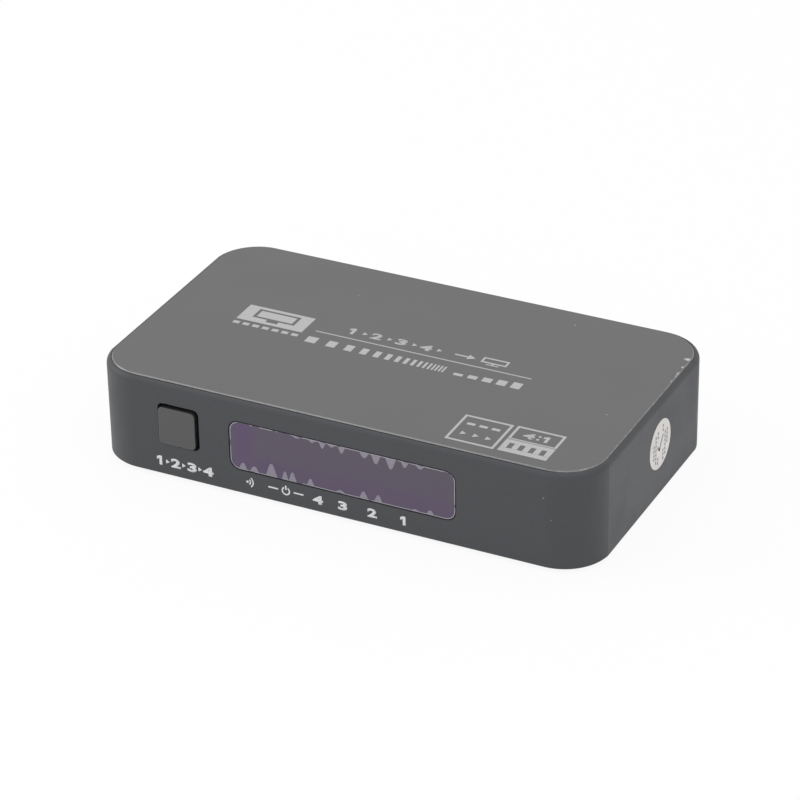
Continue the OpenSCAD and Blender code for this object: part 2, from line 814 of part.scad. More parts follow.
module jack_housing() {
    color("#18181a") difference() {
        union() {
            span([jack_x - jack_w / 2, jack_back_y, board_z],
                 [jack_x + jack_w / 2, jack_face_y, board_z + jack_h]);
            translate([jack_x, 0, jack_axis_z])
                along_y(jack_face_y - tiny, jack_mouth_y) circle(jack_nose_d / 2);
        }
        translate([jack_x, 0, jack_axis_z]) {
            along_y(jack_bore_end_y, jack_mouth_y + over) circle(jack_bore_d / 2);
            along_y(jack_back_y - over, jack_bore_end_y + over) circle(jack_root_r + jack_slot_play);
        }
        // Slot for the pin's tag, open at the back
        span([jack_x - jack_tag_w / 2 - jack_slot_play, jack_back_y - over, board_z - over],
             [jack_x + jack_tag_w / 2 + jack_slot_play,
              jack_pin_tag_y + jack_tag_t / 2 + jack_slot_play, jack_axis_z]);
        // Slot for the spring, under the bore
        span([jack_x - jack_spring_w / 2 - jack_slot_play, jack_bore_end_y - jack_slot_play, board_z - over],
             [jack_x + jack_spring_w / 2 + jack_slot_play, jack_face_y - over, jack_axis_z]);
    }
}

module jack_pin() {
    color("#c9c9c4") {
        translate([jack_x, 0, jack_axis_z]) {
            along_y(jack_pin_tag_y, jack_bore_end_y) circle(jack_root_r);
            along_y(jack_bore_end_y - tiny, jack_mouth_y - jack_pin_back - jack_pin_d / 2)
                circle(jack_pin_d / 2);
            translate([0, jack_mouth_y - jack_pin_back - jack_pin_d / 2, 0]) sphere(jack_pin_d / 2);
        }
        span([jack_x - jack_tag_w / 2, jack_pin_tag_y - jack_tag_t / 2, tail_z],
             [jack_x + jack_tag_w / 2, jack_pin_tag_y + jack_tag_t / 2, jack_axis_z]);
    }
}

module jack_spring() {
    color("#c9c9c4") {
        span([jack_x - jack_spring_w / 2, jack_bore_end_y, jack_spring_z],
             [jack_x + jack_spring_w / 2,
              jack_face_y - over - jack_slot_play, jack_spring_z + jack_spring_t]);
        span([jack_x - jack_spring_w / 2, jack_bore_end_y, tail_z],
             [jack_x + jack_spring_w / 2, jack_bore_end_y + jack_spring_t, jack_spring_z + jack_spring_t]);
    }
}

// Indicator lamps and remote receiver

module lamp(i) {
    color("#c9d3c4") translate([window_x + lamp_offsets[i], lamp_back_y, lamp_axis_z]) rotate([90, 0, 0])
        rotate_extrude() {
            r = lamp_d / 2;
            square([r + lamp_flange_lip, lamp_flange_t]);
            square([r, lamp_flange_t + lamp_l - r]);
            translate([0, lamp_flange_t + lamp_l - r]) intersection() {
                circle(r);
                square(r);
            }
        }
}

module lamp_leads() {
    color("#c2c2bd") for (x = lamp_offsets, side = [-1, 1])
        translate([window_x + x + side * lamp_lead_pitch / 2, 0, 0]) {
            span([-lead_w / 2, lamp_back_y, lamp_axis_z - lead_w / 2],
                 [lead_w / 2, lamp_lead_y + lead_w / 2, lamp_axis_z + lead_w / 2]);
            span([-lead_w / 2, lamp_lead_y - lead_w / 2, tail_z],
                 [lead_w / 2, lamp_lead_y + lead_w / 2, lamp_axis_z + lead_w / 2]);
        }
}

module lamp_holder() {
    color("#161617") {
        difference() {
            span([holder_left_x, holder_y, board_z],
                 [holder_right_x, holder_back_y, lamp_axis_z + lamp_d / 2 + holder_top]);
            for (x = lamp_offsets)
                translate([window_x + x, 0, lamp_axis_z])
                    along_y(holder_y - over, holder_back_y + over) circle(lamp_d / 2 + lamp_gap);
        }
        for (x = holder_peg_x)
            translate([x, holder_peg_y, 0]) upright(board_low_z, board_z + tiny) circle(holder_peg_r);
    }
}

module remote_receiver() {
    color("#17171a") {
        span([receiver_x - receiver_w / 2, receiver_y, board_z + receiver_lift],
             [receiver_x + receiver_w / 2, receiver_y + receiver_d, lamp_axis_z + receiver_top]);
        translate([receiver_x, receiver_y, lamp_axis_z]) sphere(receiver_lens_r);
    }
}

module receiver_leads() {
    color("#c2c2bd") for (i = [-1 : 1])
        translate([receiver_x + i * receiver_lead_pitch, receiver_lead_y, 0])
            upright(tail_z, board_z + receiver_lift) square(lead_w, center = true);
}

// Components on the board

// Flat component of a given width, depth and height
module on_board(at, size) {
    translate([at[0], at[1], board_z]) linear_extrude(size[2]) square([size[0], size[1]], center = true);
}

// Chip lifted off the board by bent legs. The legs leave its rear side, and the sides that lie at the
// given turns from it.
module leaded_chip(at, size, turns, per_side, pitch, width) {
    mid = (size[2] + leg_t) / 2;
    knee = leg_reach / 3;
    translate([at[0], at[1], board_z]) {
        translate([0, 0, chip_lift]) linear_extrude(size[2] - chip_lift)
            square([size[0], size[1]], center = true);
        for (turn = turns, k = [0 : per_side - 1])
            rotate(turn) translate([(k - (per_side - 1) / 2) * pitch - width / 2, size[1] / 2, 0])
                rotate([90, 0, 90]) linear_extrude(width)
                    polygon([[-leg_t, mid - leg_t], [knee, mid - leg_t], [knee, 0], [leg_reach, 0],
                             [leg_reach, leg_t], [knee + leg_t, leg_t], [knee + leg_t, mid], [-leg_t, mid]]);
    }
}

module switch_chip() {
    color("#1c1c1e")
        leaded_chip(switch_chip_at, switch_chip_size, [0, 90, 180, 270], 16, fine_leg_pitch, fine_leg_w);
}

module thermal_pad() {
    color("#9fb3c4") translate([0, 0, switch_chip_size[2]])
        on_board(switch_chip_at, [switch_chip_size[0], switch_chip_size[1], pad_t]);
}

module heat_sink() {
    step = (sink_w - fin_t) / (fin_count - 1);
    base = board_z + switch_chip_size[2] + pad_t;
    color("#2f3033") translate([switch_chip_at[0], switch_chip_at[1], base]) {
        linear_extrude(sink_base_t) square(sink_w, center = true);
        for (i = [0 : fin_count - 1])
            translate([i * step - (sink_w - fin_t) / 2, 0, 0])
                linear_extrude(sink_h) square([fin_t, sink_w], center = true);
    }
}

module control_chip() {
    color("#1c1c1e") leaded_chip(control_chip_at, control_chip_size, [0, 180], 10, leg_pitch, leg_w);
}

module memory_chips() {
    color("#1c1c1e") for (i = [0 : port_count - 2])
        leaded_chip([port_x(i), memory_chip_y], memory_chip_size, [0, 180], 4, leg_pitch, leg_w);
}

module regulator_chip() {
    color("#1c1c1e") leaded_chip(regulator_at, regulator_size, [0, 180], 4, leg_pitch, leg_w);
}

module inductor() {
    color("#3a3a3c") on_board(inductor_at, inductor_size);
}

module crystal() {
    color("#b9b9b6") translate([crystal_at[0], crystal_at[1], 0])
        upright(board_z, board_z + crystal_h) rotate(90) slot(crystal_w, crystal_l);
}

module capacitors() {
    color("#8f9296") for (at = capacitor_at)
        translate([at[0], at[1], 0]) upright(board_z, board_z + capacitor_h) circle(capacitor_r);
}

// Drawing: every node, or the one that is asked for
top_shell();
top_panel();
panel_adhesive();
bottom_cover();
window_lens();
window_film();
select_button();
switch_plunger();
switch_dome();
switch_cover();
switch_housing();
switch_leads();
main_board();
for (i = [0 : port_count - 1]) {
    port_shell(i);
    port_insulator(i);
    port_contacts(i);
}
jack_housing();
jack_pin();
jack_spring();
for (i = [0 : len(lamp_names) - 1])
    lamp(i);
lamp_leads();
lamp_holder();
remote_receiver();
receiver_leads();
switch_chip();
thermal_pad();
heat_sink();
control_chip();
memory_chips();
regulator_chip();
crystal();
capacitors();
inductor();
case_screws();
board_screws();
rubber_foot(-1, -1);  // foot_front_left
rubber_foot(1, -1);  // foot_front_right
rubber_foot(-1, 1);  // foot_rear_left
rubber_foot(1, 1);  // foot_rear_right
inspection_seal();
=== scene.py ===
import math
import bmesh
import bpy
from mathutils import Matrix, Vector


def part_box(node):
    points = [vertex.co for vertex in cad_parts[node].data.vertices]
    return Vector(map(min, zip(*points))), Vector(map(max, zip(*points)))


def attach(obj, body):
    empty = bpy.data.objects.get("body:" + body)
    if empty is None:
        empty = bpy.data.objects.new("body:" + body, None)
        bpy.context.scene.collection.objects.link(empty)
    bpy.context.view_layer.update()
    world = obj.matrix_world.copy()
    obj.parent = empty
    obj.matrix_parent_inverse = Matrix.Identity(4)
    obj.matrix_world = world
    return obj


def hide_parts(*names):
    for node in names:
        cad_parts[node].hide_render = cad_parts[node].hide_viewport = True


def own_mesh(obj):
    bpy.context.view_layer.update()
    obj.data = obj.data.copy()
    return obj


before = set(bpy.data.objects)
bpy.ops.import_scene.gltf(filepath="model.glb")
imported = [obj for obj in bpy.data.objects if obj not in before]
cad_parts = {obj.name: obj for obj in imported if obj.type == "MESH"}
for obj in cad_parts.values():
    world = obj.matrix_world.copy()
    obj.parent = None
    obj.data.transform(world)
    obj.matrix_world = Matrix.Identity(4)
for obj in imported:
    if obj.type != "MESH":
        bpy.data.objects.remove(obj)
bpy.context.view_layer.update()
mm = 0.001
close = 0.004  # mm, for picking edges and faces by their place
overlap = 0.01  # mm, by which solids that are joined run into each other
weld = 0.0005  # mm, within which corners are merged


def selectNone():
    bpy.ops.object.select_all(action="DESELECT")


def only(piece):
    selectNone()
    piece.select_set(True)
    bpy.context.view_layer.objects.active = piece


def settlePlace(piece):
    only(piece)
    bpy.ops.object.transform_apply(location=True, rotation=True, scale=True)


def addBlock(name, low, high):
    selectNone()
    middle = [(a + b) / 2 * mm for a, b in zip(low, high)]
    bpy.ops.mesh.primitive_cube_add(size=1, location=middle)
    piece = bpy.context.object
    piece.name = name
    piece.scale = [(b - a) * mm for a, b in zip(low, high)]
    settlePlace(piece)
    return piece


def addRod(name, radius, start, end, axis="Z", steps=48):
    selectNone()
    turn = {"Z": (0, 0, 0), "Y": (math.pi / 2, 0, 0), "X": (0, math.pi / 2, 0)}[axis]
    middle = [(a + b) / 2 * mm for a, b in zip(start, end)]
    length = (Vector(end) - Vector(start)).length * mm
    bpy.ops.mesh.primitive_cylinder_add(vertices=steps, radius=radius * mm, depth=length, location=middle,
                                        rotation=turn)
    piece = bpy.context.object
    piece.name = name
    settlePlace(piece)
    return piece


def pickEdges(test):
    mesh = bpy.context.object.data
    bpy.ops.mesh.select_mode(type="EDGE")
    bpy.ops.mesh.select_all(action="DESELECT")
    shape = bmesh.from_edit_mesh(mesh)
    for edge in shape.edges:
        if test(edge.verts[0].co / mm, edge.verts[1].co / mm, edge):
            edge.select_set(True)
    shape.select_flush_mode()
    bmesh.update_edit_mesh(mesh)


def pickFaces(test):
    mesh = bpy.context.object.data
    bpy.ops.mesh.select_mode(type="FACE")
    bpy.ops.mesh.select_all(action="DESELECT")
    shape = bmesh.from_edit_mesh(mesh)
    for face in shape.faces:
        if test(face.calc_center_median() / mm, face.normal):
            face.select_set(True)
    shape.select_flush_mode()
    bmesh.update_edit_mesh(mesh)


def edit(piece):
    only(piece)
    bpy.ops.object.mode_set(mode="EDIT")


def editAll(piece):
    edit(piece)
    bpy.ops.mesh.select_all(action="SELECT")


def leave():
    bpy.ops.object.mode_set(mode="OBJECT")


def bevelEdges(piece, test, offset, steps=1):
    edit(piece)
    pickEdges(test)
    bpy.ops.mesh.bevel(offset=offset * mm, segments=steps, profile=0.5, affect="EDGES")
    leave()


def along(axis):
    others = [i for i in range(3) if i != axis]
    return lambda a, b, edge: all(abs(a[i] - b[i]) < close for i in others)


def level(axis, height):
    return lambda a, b, edge: abs(a[axis] - height) < close and abs(b[axis] - height) < close


def roundedBlock(name, low, high, axis, radius, steps):
    piece = addBlock(name, low, high)
    bevelEdges(piece, along(axis), radius, steps)
    return piece


def modify(piece, kind, **settings):
    only(piece)
    change = piece.modifiers.new(kind.lower(), kind)
    for key, value in settings.items():
        setattr(change, key, value)
    bpy.ops.object.modifier_apply(modifier=change.name)


def discard(piece):
    bpy.data.objects.remove(piece, do_unlink=True)


def combine(piece, tool, operation="DIFFERENCE"):
    modify(piece, "BOOLEAN", operation=operation, object=tool, solver="EXACT")
    discard(tool)


def thicken(piece, thick):
    modify(piece, "SOLIDIFY", thickness=thick * mm, offset=0)


def copyOf(piece, name):
    twin = piece.copy()
    twin.data = piece.data.copy()
    twin.name = name
    bpy.context.collection.objects.link(twin)
    return twin


def joinPieces(name, pieces):
    selectNone()
    for piece in pieces:
        piece.select_set(True)
    bpy.context.view_layer.objects.active = pieces[0]
    bpy.ops.object.join()
    pieces[0].name = name
    return pieces[0]


def smoothOff(piece, angle=32):
    only(piece)
    bpy.ops.object.shade_smooth_by_angle(angle=math.radians(angle))
    modify(piece, "WEIGHTED_NORMAL", keep_sharp=True)


def hand(piece, body, finishes, nodes=()):
    piece.data.materials.clear()
    for finish in finishes:
        piece.data.materials.append(finish)
    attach(piece, body)
    if nodes:
        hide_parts(*nodes)


class Wire:
    def __init__(self, tree, socket):
        self.tree, self.socket = tree, socket

    def node(self, kind, settings=None, inputs=None, output=0):
        made = self.tree.nodes.new("ShaderNode" + kind)
        for key, value in (settings or {}).items():
            setattr(made, key, value)
        for key, value in (inputs or {}).items():
            feed(self.tree, made.inputs[key], value)
        return Wire(self.tree, made.outputs[output])

    def maths(self, operation, a, b=0.0):
        return self.node("Math", {"operation": operation}, {0: a, 1: b})

    def __add__(self, other):
        return self.maths("ADD", self, other)

    def __radd__(self, other):
        return self.maths("ADD", other, self)

    def __sub__(self, other):
        return self.maths("SUBTRACT", self, other)

    def __rsub__(self, other):
        return self.maths("SUBTRACT", other, self)

    def __mul__(self, other):
        return self.maths("MULTIPLY", self, other)

    def __rmul__(self, other):
        return self.maths("MULTIPLY", other, self)

    def __truediv__(self, other):
        return self.maths("DIVIDE", self, other)

    def __rtruediv__(self, other):
        return self.maths("DIVIDE", other, self)


def feed(tree, socket, value):
    if isinstance(value, Wire):
        tree.links.new(value.socket, socket)
    else:
        socket.default_value = value


def newFinish(name):
    finish = bpy.data.materials.new(name)
    finish.use_nodes = True
    tree = finish.node_tree
    place = Wire(tree, tree.nodes.new("ShaderNodeTexCoord").outputs["Object"])
    return finish, place


def dress(finish, **values):
    tree = finish.node_tree
    shader = tree.nodes["Principled BSDF"]
    for key, value in values.items():
        feed(tree, shader.inputs[key.replace("_", " ")], value)
    return finish


def noise(place, scale, detail=2.0, rough=0.5):
    inputs = {"Vector": place, "Scale": scale, "Detail": detail, "Roughness": rough}
    return place.node("TexNoise", {}, inputs)


def ramp(value, low, high, start=0.0, end=1.0):
    return value.node("MapRange", {"interpolation_type": "SMOOTHSTEP"},
                      {"Value": value, "From Min": low, "From Max": high, "To Min": start, "To Max": end})


def patchy(cloud, start=0.0, end=1.0):
    # most of a noise lies between 0.3 and 0.7
    return ramp(cloud, 0.3, 0.7, start, end)


def shade(factor, first, second):
    first, second = (side if isinstance(side, Wire) else (*side, 1) for side in (first, second))
    return factor.node("Mix", {"data_type": "RGBA"}, {0: factor, 6: first, 7: second}, 2)


def raised(height, distance):
    return height.node("Bump", {}, {"Height": height, "Distance": distance * mm, "Strength": 1.0})


def axes(place):
    return [place.node("SeparateXYZ", {}, {0: place}, i) for i in range(3)]


def tint(colour, change):
    return tuple(min(1.0, c * change) for c in colour)


def mouldedPlastic(name, colour, rough=0.5, grain=2600, depth=0.012, spread=0.06, specular=0.5, dust=()):
    finish, place = newFinish(name)
    fine = noise(place, grain, 3.0, 0.6)
    broad = noise(place, 90, 2.0)
    base = shade(patchy(fine * 0.6 + broad * 0.4), tint(colour, 1 - spread), tint(colour, 1 + spread))
    for *middle, radius in dust:
        middle = tuple(part * mm for part in middle)
        away = place.node("VectorMath", {"operation": "DISTANCE"}, {0: place, 1: middle}, 1)
        base = shade(ramp(away, radius * 0.4 * mm, radius * mm, 1.0, 0.0), base, caseTone["dust"])
    return dress(finish, Base_Color=base, Roughness=patchy(broad, rough - 0.05, rough + 0.05),
                 Specular_IOR_Level=specular, Normal=raised(fine, depth))


def metalSheet(name, colour, rough=0.3, stretch=(1, 1, 1), grain=900, depth=0.004, spread=0.12):
    finish, place = newFinish(name)
    lay = place.node("Mapping", {}, {"Vector": place, "Scale": stretch})
    lines = noise(lay, grain, 3.0, 0.6)
    cloud = noise(place, 250, 2.0)
    return dress(finish, Base_Color=shade(patchy(lines * 0.5 + cloud * 0.5), tint(colour, 1 - spread),
                                          tint(colour, 1 + spread / 2)),
                 Metallic=1.0, Roughness=patchy(cloud, rough - 0.06, rough + 0.08),
                 Normal=raised(lines, depth))


caseTone = {"case": (0.0615, 0.064, 0.0695), "cover": (0.045, 0.046, 0.049), "dust": (0.2, 0.2, 0.203),
            "button": (0.077, 0.077, 0.0795), "buttonHighlight": (0.125, 0.125, 0.128),
            "buttonShade": (0.026, 0.026, 0.027)}
# two grains of dust by the right-hand corner: middle and radius, in mm
caseDust = ((49.19, -34, 18.08, 0.26), (50.94, -33.86, 13.05, 0.2))
casePlastic = mouldedPlastic("casePlastic", caseTone["case"], 0.5, specular=0.34, dust=caseDust)
coverPlastic = mouldedPlastic("coverPlastic", caseTone["cover"], 0.58, 1800, 0.02)
buttonPlastic = mouldedPlastic("buttonPlastic", caseTone["button"], 0.45, 2600, 0.008)
# paler grey for the cap's rounded lower and left edges: a painted highlight
buttonHighlight = mouldedPlastic("buttonHighlight", caseTone["buttonHighlight"], 0.4, 2600, 0.008)
# near-black grey for the cap's sides: painted shade of the gap around the button
buttonShade = mouldedPlastic("buttonShade", caseTone["buttonShade"], 0.5, 2600, 0.008)
blackPlastic = mouldedPlastic("blackPlastic", (0.012, 0.012, 0.013), 0.42, 2200, 0.01)
chipResin = mouldedPlastic("chipResin", (0.018, 0.018, 0.019), 0.6, 4000, 0.01, 0.15)
footRubber = mouldedPlastic("footRubber", (0.013, 0.013, 0.014), 0.78, 1500, 0.03, 0.2, 0.3)
thermalRubber = mouldedPlastic("thermalRubber", (0.32, 0.35, 0.4), 0.8, 1500, 0.03, 0.1, 0.3)
ferrite = mouldedPlastic("ferrite", (0.03, 0.03, 0.033), 0.55, 3000, 0.02, 0.25)
adhesive = mouldedPlastic("adhesive", (0.68, 0.65, 0.55), 0.45, 700, 0.02, 0.06)
receiverResin = mouldedPlastic("receiverResin", (0.02, 0.008, 0.012), 0.12, 900, 0.002, 0.2)
brightMetal = metalSheet("brightMetal", (0.62, 0.62, 0.63), 0.28, (1, 0.06, 1))
tinnedMetal = metalSheet("tinnedMetal", (0.66, 0.66, 0.64), 0.38, (1, 1, 0.2))
springSteel = metalSheet("springSteel", (0.6, 0.59, 0.56), 0.25, (1, 1, 1), 1800)
gold = metalSheet("gold", (0.83, 0.58, 0.24), 0.24, (1, 0.05, 1), 1500)
sinkMetal = metalSheet("sinkMetal", (0.5, 0.51, 0.53), 0.42, (0.05, 1, 1))
canMetal = metalSheet("canMetal", (0.68, 0.68, 0.69), 0.22, (1, 1, 0.1))
darkSteel = metalSheet("darkSteel", (0.07, 0.07, 0.075), 0.4, (1, 1, 1), 1200)
zincSteel = metalSheet("zincSteel", (0.55, 0.55, 0.53), 0.32, (1, 1, 1), 1200)


def makeLampResin():
    finish, place = newFinish("lampResin")
    cloud = noise(place, 500, 2.0)
    return dress(finish, Base_Color=shade(cloud, (0.62, 0.68, 0.6), (0.74, 0.78, 0.72)),
                 Roughness=patchy(cloud, 0.1, 0.2), Transmission_Weight=0.6, IOR=1.5)


def makeBoard():
    finish, place = newFinish("board")
    lay = place.node("Mapping", {}, {"Vector": place, "Scale": (1, 1, 0)})
    tracks = lay.node("TexVoronoi", {"feature": "DISTANCE_TO_EDGE"}, {"Vector": lay, "Scale": 420})
    copper = ramp(tracks, 0.03, 0.06, 1.0, 0.0)
    cloud = noise(place, 300, 3.0)
    green = ramp(cloud * 0.4 + copper * 0.6, 0.1, 0.9)
    return dress(finish, Base_Color=shade(green, (0.008, 0.055, 0.022), (0.02, 0.11, 0.04)),
                 Roughness=patchy(cloud, 0.25, 0.4), Normal=raised(copper, 0.03))


lampResin = makeLampResin()
boardMask = makeBoard()

panelTone = {"face": (0.1085, 0.1085, 0.108), "edge": (0.2, 0.2, 0.2), "side": (0.02, 0.02, 0.021),
             "fleck": (0.54, 0.54, 0.54),
             # chips along the right-hand edge and grains of dust: middle and half sizes, in mm
             "chips": ((58.45, 22.97, 1.2, 0.6), (58.75, 19.22, 0.6, 0.5), (58.85, 16.07, 0.5, 1.0),
                       (58.9, 14.87, 0.4, 0.7), (58.85, 12.51, 0.4, 0.5), (51.7, -6.73, 0.15, 0.15),
                       (29.45, 27.18, 0.16, 0.2), (-20.79, 19.7, 0.14, 0.14))}


def makePanelFace(tone):
    finish, place = newFinish("panelFace")
    fine = noise(place, 3200, 2.0, 0.6)
    broad = noise(place, 45, 2.0)
    base = shade(patchy(fine * 0.35 + broad * 0.65), tint(tone["face"], 0.97), tint(tone["face"], 1.03))
    x, y = axes(place)[:2]
    ragged = noise(place, 1400, 2.0) * 0.9
    pale = None
    for atX, atY, halfX, halfY in tone["chips"]:
        across, deep = (x / mm - atX) / halfX, (y / mm - atY) / halfY
        spot = ramp(across * across + deep * deep + ragged, 0.5, 1.8, 1.0, 0.0)
        pale = spot if pale is None else pale.maths("MAXIMUM", pale, spot)
    return dress(finish, Base_Color=shade(pale, base, tone["fleck"]), Roughness=patchy(broad, 0.42, 0.5),
                 Normal=raised(fine, 0.005))


def makePanelEdge(tone):
    finish, place = newFinish("panelEdge")
    marks = noise(place, 700, 3.0, 0.7)
    paleEdge = shade(ramp(marks, 0.3, 0.75), tint(tone["edge"], 0.75), tint(tone["edge"], 1.25))
    return dress(finish, Base_Color=paleEdge, Roughness=patchy(marks, 0.14, 0.24), Normal=raised(marks, 0.004))


panelFace, panelEdge = makePanelFace(panelTone), makePanelEdge(panelTone)
panelSide = mouldedPlastic("panelSide", panelTone["side"], 0.6)

windowTone = {"lens": (0.05, 0.036, 0.064), "film": (0.084, 0.067, 0.1), "violet": (0.086, 0.052, 0.123),
              "lifted": (0.255, 0.235, 0.29), "edge": (0.44, 0.43, 0.45)}
# spans over which the film turns violet, and those where it lies tight, in metres along x and z
filmSpan = {"violetLeft": (-0.0245, -0.0222), "violetRight": (-0.0215, -0.0175),
            "violetLow": (0.0095, 0.0125), "tightLeft": (-0.0225, -0.021), "tightRight": (-0.012, -0.008),
            "tightTop": (0.0183, 0.0186)}


def makeLens(tone):
    finish, place = newFinish("lensTint")
    cloud = noise(place, 60, 2.0)
    return dress(finish, Base_Color=shade(patchy(cloud), tint(tone["lens"], 0.9), tint(tone["lens"], 1.1)),
                 Roughness=patchy(cloud, 0.1, 0.18), IOR=1.49)


def makeFilm(name, colour, edgeColour, rough):
    # more violet near the left end and along the lower edge
    finish, place = newFinish(name)
    x, z = axes(place)[::2]
    cloud = noise(place, 140, 3.0)
    edge = ramp(x, *filmSpan["violetRight"], 1.0, 0.0) * ramp(x, *filmSpan["violetLeft"], 0.45, 1.0)
    edge = edge.maths("MAXIMUM", edge, ramp(z, *filmSpan["violetLow"], 0.6, 0.0))
    return dress(finish, Base_Color=shade(edge * 0.8 + patchy(cloud) * 0.2, colour, edgeColour),
                 Roughness=patchy(cloud, rough - 0.06, rough + 0.06),
                 Normal=raised(noise(place, 60, 1.0), 0.01))


lensTint = makeLens(windowTone)
filmClear = makeFilm("filmClear", windowTone["film"], windowTone["violet"], 0.22)
filmLifted = makeFilm("filmLifted", windowTone["lifted"], tint(windowTone["lifted"], 0.93), 0.4)


def makeFilmEdge(tone):
    # pale cut edge, broken along the upper left where the film lies tight
    finish, place = newFinish("filmEdge")
    x, z = axes(place)[::2]
    tight = ramp(x, *filmSpan["tightLeft"]) * ramp(x, *filmSpan["tightRight"], 1.0, 0.0)
    tight = tight * ramp(z, *filmSpan["tightTop"])
    broken = ramp(noise(place, 420, 2.0) - tight * 0.13, 0.34, 0.46)
    return dress(finish, Base_Color=shade(broken, tint(tone["film"], 1.3), tone["edge"]),
                 Roughness=ramp(broken, 0, 1, 0.25, 0.45))


filmEdge = makeFilmEdge(windowTone)


def printed(name, colour, rough=0.55, wear=0.08):
    finish, place = newFinish(name)
    fine = noise(place, 5200, 2.0, 0.7)
    return dress(finish, Base_Color=shade(patchy(fine), tint(colour, 1 - wear), tint(colour, 1 + wear)),
                 Roughness=patchy(fine, rough - 0.05, rough + 0.05), Normal=raised(fine, 0.004))


whiteInk = printed("whiteInk", (0.73, 0.735, 0.74))
panelInk = printed("panelInk", (0.46, 0.46, 0.46))
sealInk = printed("sealInk", (0.3, 0.29, 0.3), 0.7, 0.3)

sealTone = {"dark": (0.73, 0.705, 0.69), "light": (0.85, 0.825, 0.805)}


def makeSealPaper(tone):
    finish, place = newFinish("sealPaper")
    fibre = noise(place, 1900, 4.0, 0.7)
    cloud = noise(place, 260, 2.0)
    return dress(finish, Base_Color=shade(patchy(fibre * 0.5 + cloud * 0.5), tone["dark"], tone["light"]),
                 Roughness=patchy(cloud, 0.6, 0.75), Normal=raised(fibre, 0.02))


sealPaper = makeSealPaper(sealTone)
print("finishes made")

cameraSet = {"eye": (300.724, -599.154, 392.316), "azimuth": 26.715, "elevation": 29.543, "roll": -0.99,
             "lens": 156.459, "sensor": 36, "clip": (0.01, 20)}


def makeCamera(s):
    turn, tilt, roll = (math.radians(s[key]) for key in ("azimuth", "elevation", "roll"))
    back = Vector((math.sin(turn) * math.cos(tilt), -math.cos(turn) * math.cos(tilt), math.sin(tilt)))
    right = Vector((math.cos(turn), math.sin(turn), 0))
    up = back.cross(right)
    selectNone()
    bpy.ops.object.camera_add()
    camera = bpy.context.object
    camera.name = "camera"
    camera.data.lens, camera.data.sensor_width = s["lens"], s["sensor"]
    camera.data.clip_start, camera.data.clip_end = s["clip"]
    rows = (math.cos(roll) * right + math.sin(roll) * up, math.cos(roll) * up - math.sin(roll) * right, back)
    pose = Matrix(rows).transposed().to_4x4()
    pose.translation = Vector(s["eye"]) * mm
    camera.matrix_world = pose
    bpy.context.scene.camera = camera


makeCamera(cameraSet)
print("camera set")

case = {"half": (60, 34), "low": 1, "rim": 24.38, "corner": 11, "edge": 1.6, "base": 0.4, "wall": 2,
        "lip": 1.2, "roof": 21.95, "seat": 23.55, "rebate": (0.98, 0.86), "cover": 2.8, "rimRound": 0.12,
        "holeRound": 0.3,
        # how far cutting blocks go past the case, and the ends of those for the front and rear walls
        "past": 2, "frontCut": (-36, -31), "rearCut": (31, 36),
        # radius of the corners' rounds, and distance of their middles from the side walls
        "crease": (10.8, 10.72)}
boss = {"at": (53, 22), "radius": 3, "top": 22.75, "pilot": 1.15, "pilotTop": 12, "rib": 1, "ribDrop": 4,
        "ribSink": 1}
button = {"at": (-38.25, 13.72), "width": 9.1, "corner": 1.1, "face": -34.3, "edge": 0.18, "flange": 12.1,
          "flangeAt": (-31.9, -31.1), "stem": 2, "tip": -30.1, "hole": 10.06, "holeAt": (-37.95, 14.02),
          "holeCorner": 1.28}
window = {"at": (1.8, 13), "size": (54.2, 11.9), "corner": 2.4, "gap": 0.15, "ledge": 1,
          "lens": (-33.9, -32.7), "lensRound": 0.12, "film": -33.98, "filmInset": 0.15,
          "filmShift": (0.08, 0.06)}
port = {"at": (40.5, 23.1, 5.7, -11.7, -29.1), "axis": 12.675, "width": 14, "height": 4.55, "cut": 1.75,
        "sheet": 0.4, "gap": 0.3, "along": (22.5, 34.5), "block": (22.95, 26.95), "fit": 0.05,
        "mouthRound": 0.12, "outerBends": (0.6, 0.3), "innerBends": (0.2, 0.13),  # upper and lower bends
        "legs": (24.1, 29.5), "legWidth": 1.2, "legTop": 12.075, "legRound": 0.35, "tail": 7.4,
        "springs": ((1, 3.3), (1, -3.3), (-1, 2.9), (-1, -2.9)), "springSlot": (2.4, 5.8, 0.7),
        "springBack": 1.2, "springWidth": 2.0, "springRoot": 0.3, "springSheet": 0.25, "springDip": 0.5,
        "springTurn": 2.4, "tongue": (10.9, 1.9), "tongueTip": 33.5, "tongueRoot": 0.1, "tipRound": 0.35,
        "nodes": ("video_in_1", "video_in_2", "video_in_3", "video_in_4", "video_out")}
jack = {"at": (-44, 16.5), "hole": 4.25}


def roundedBox(name, inset, low, high, steps=24):
    x, y = case["half"][0] - inset, case["half"][1] - inset
    return roundedBlock(name, (-x, -y, low), (x, y, high), 2, case["corner"] - inset, steps)


def portBlock(name, x, grow, y0, y1):
    a, b = port["width"] / 2 + grow, port["height"] / 2 + grow
    cut = port["cut"] + grow * (2 - math.sqrt(2))
    piece = addBlock(name, (x - a, y0, port["axis"] - b), (x + a, y1, port["axis"] + b))
    bevelEdges(piece, lambda p, q, e: along(1)(p, q, e) and p.z < port["axis"], cut)
    return piece


def frontBlock(name, at, width, height, corner, y0, y1, steps=8):
    x, z = at
    low, high = (x - width / 2, y0, z - height / 2), (x + width / 2, y1, z + height / 2)
    return roundedBlock(name, low, high, 1, corner, steps)


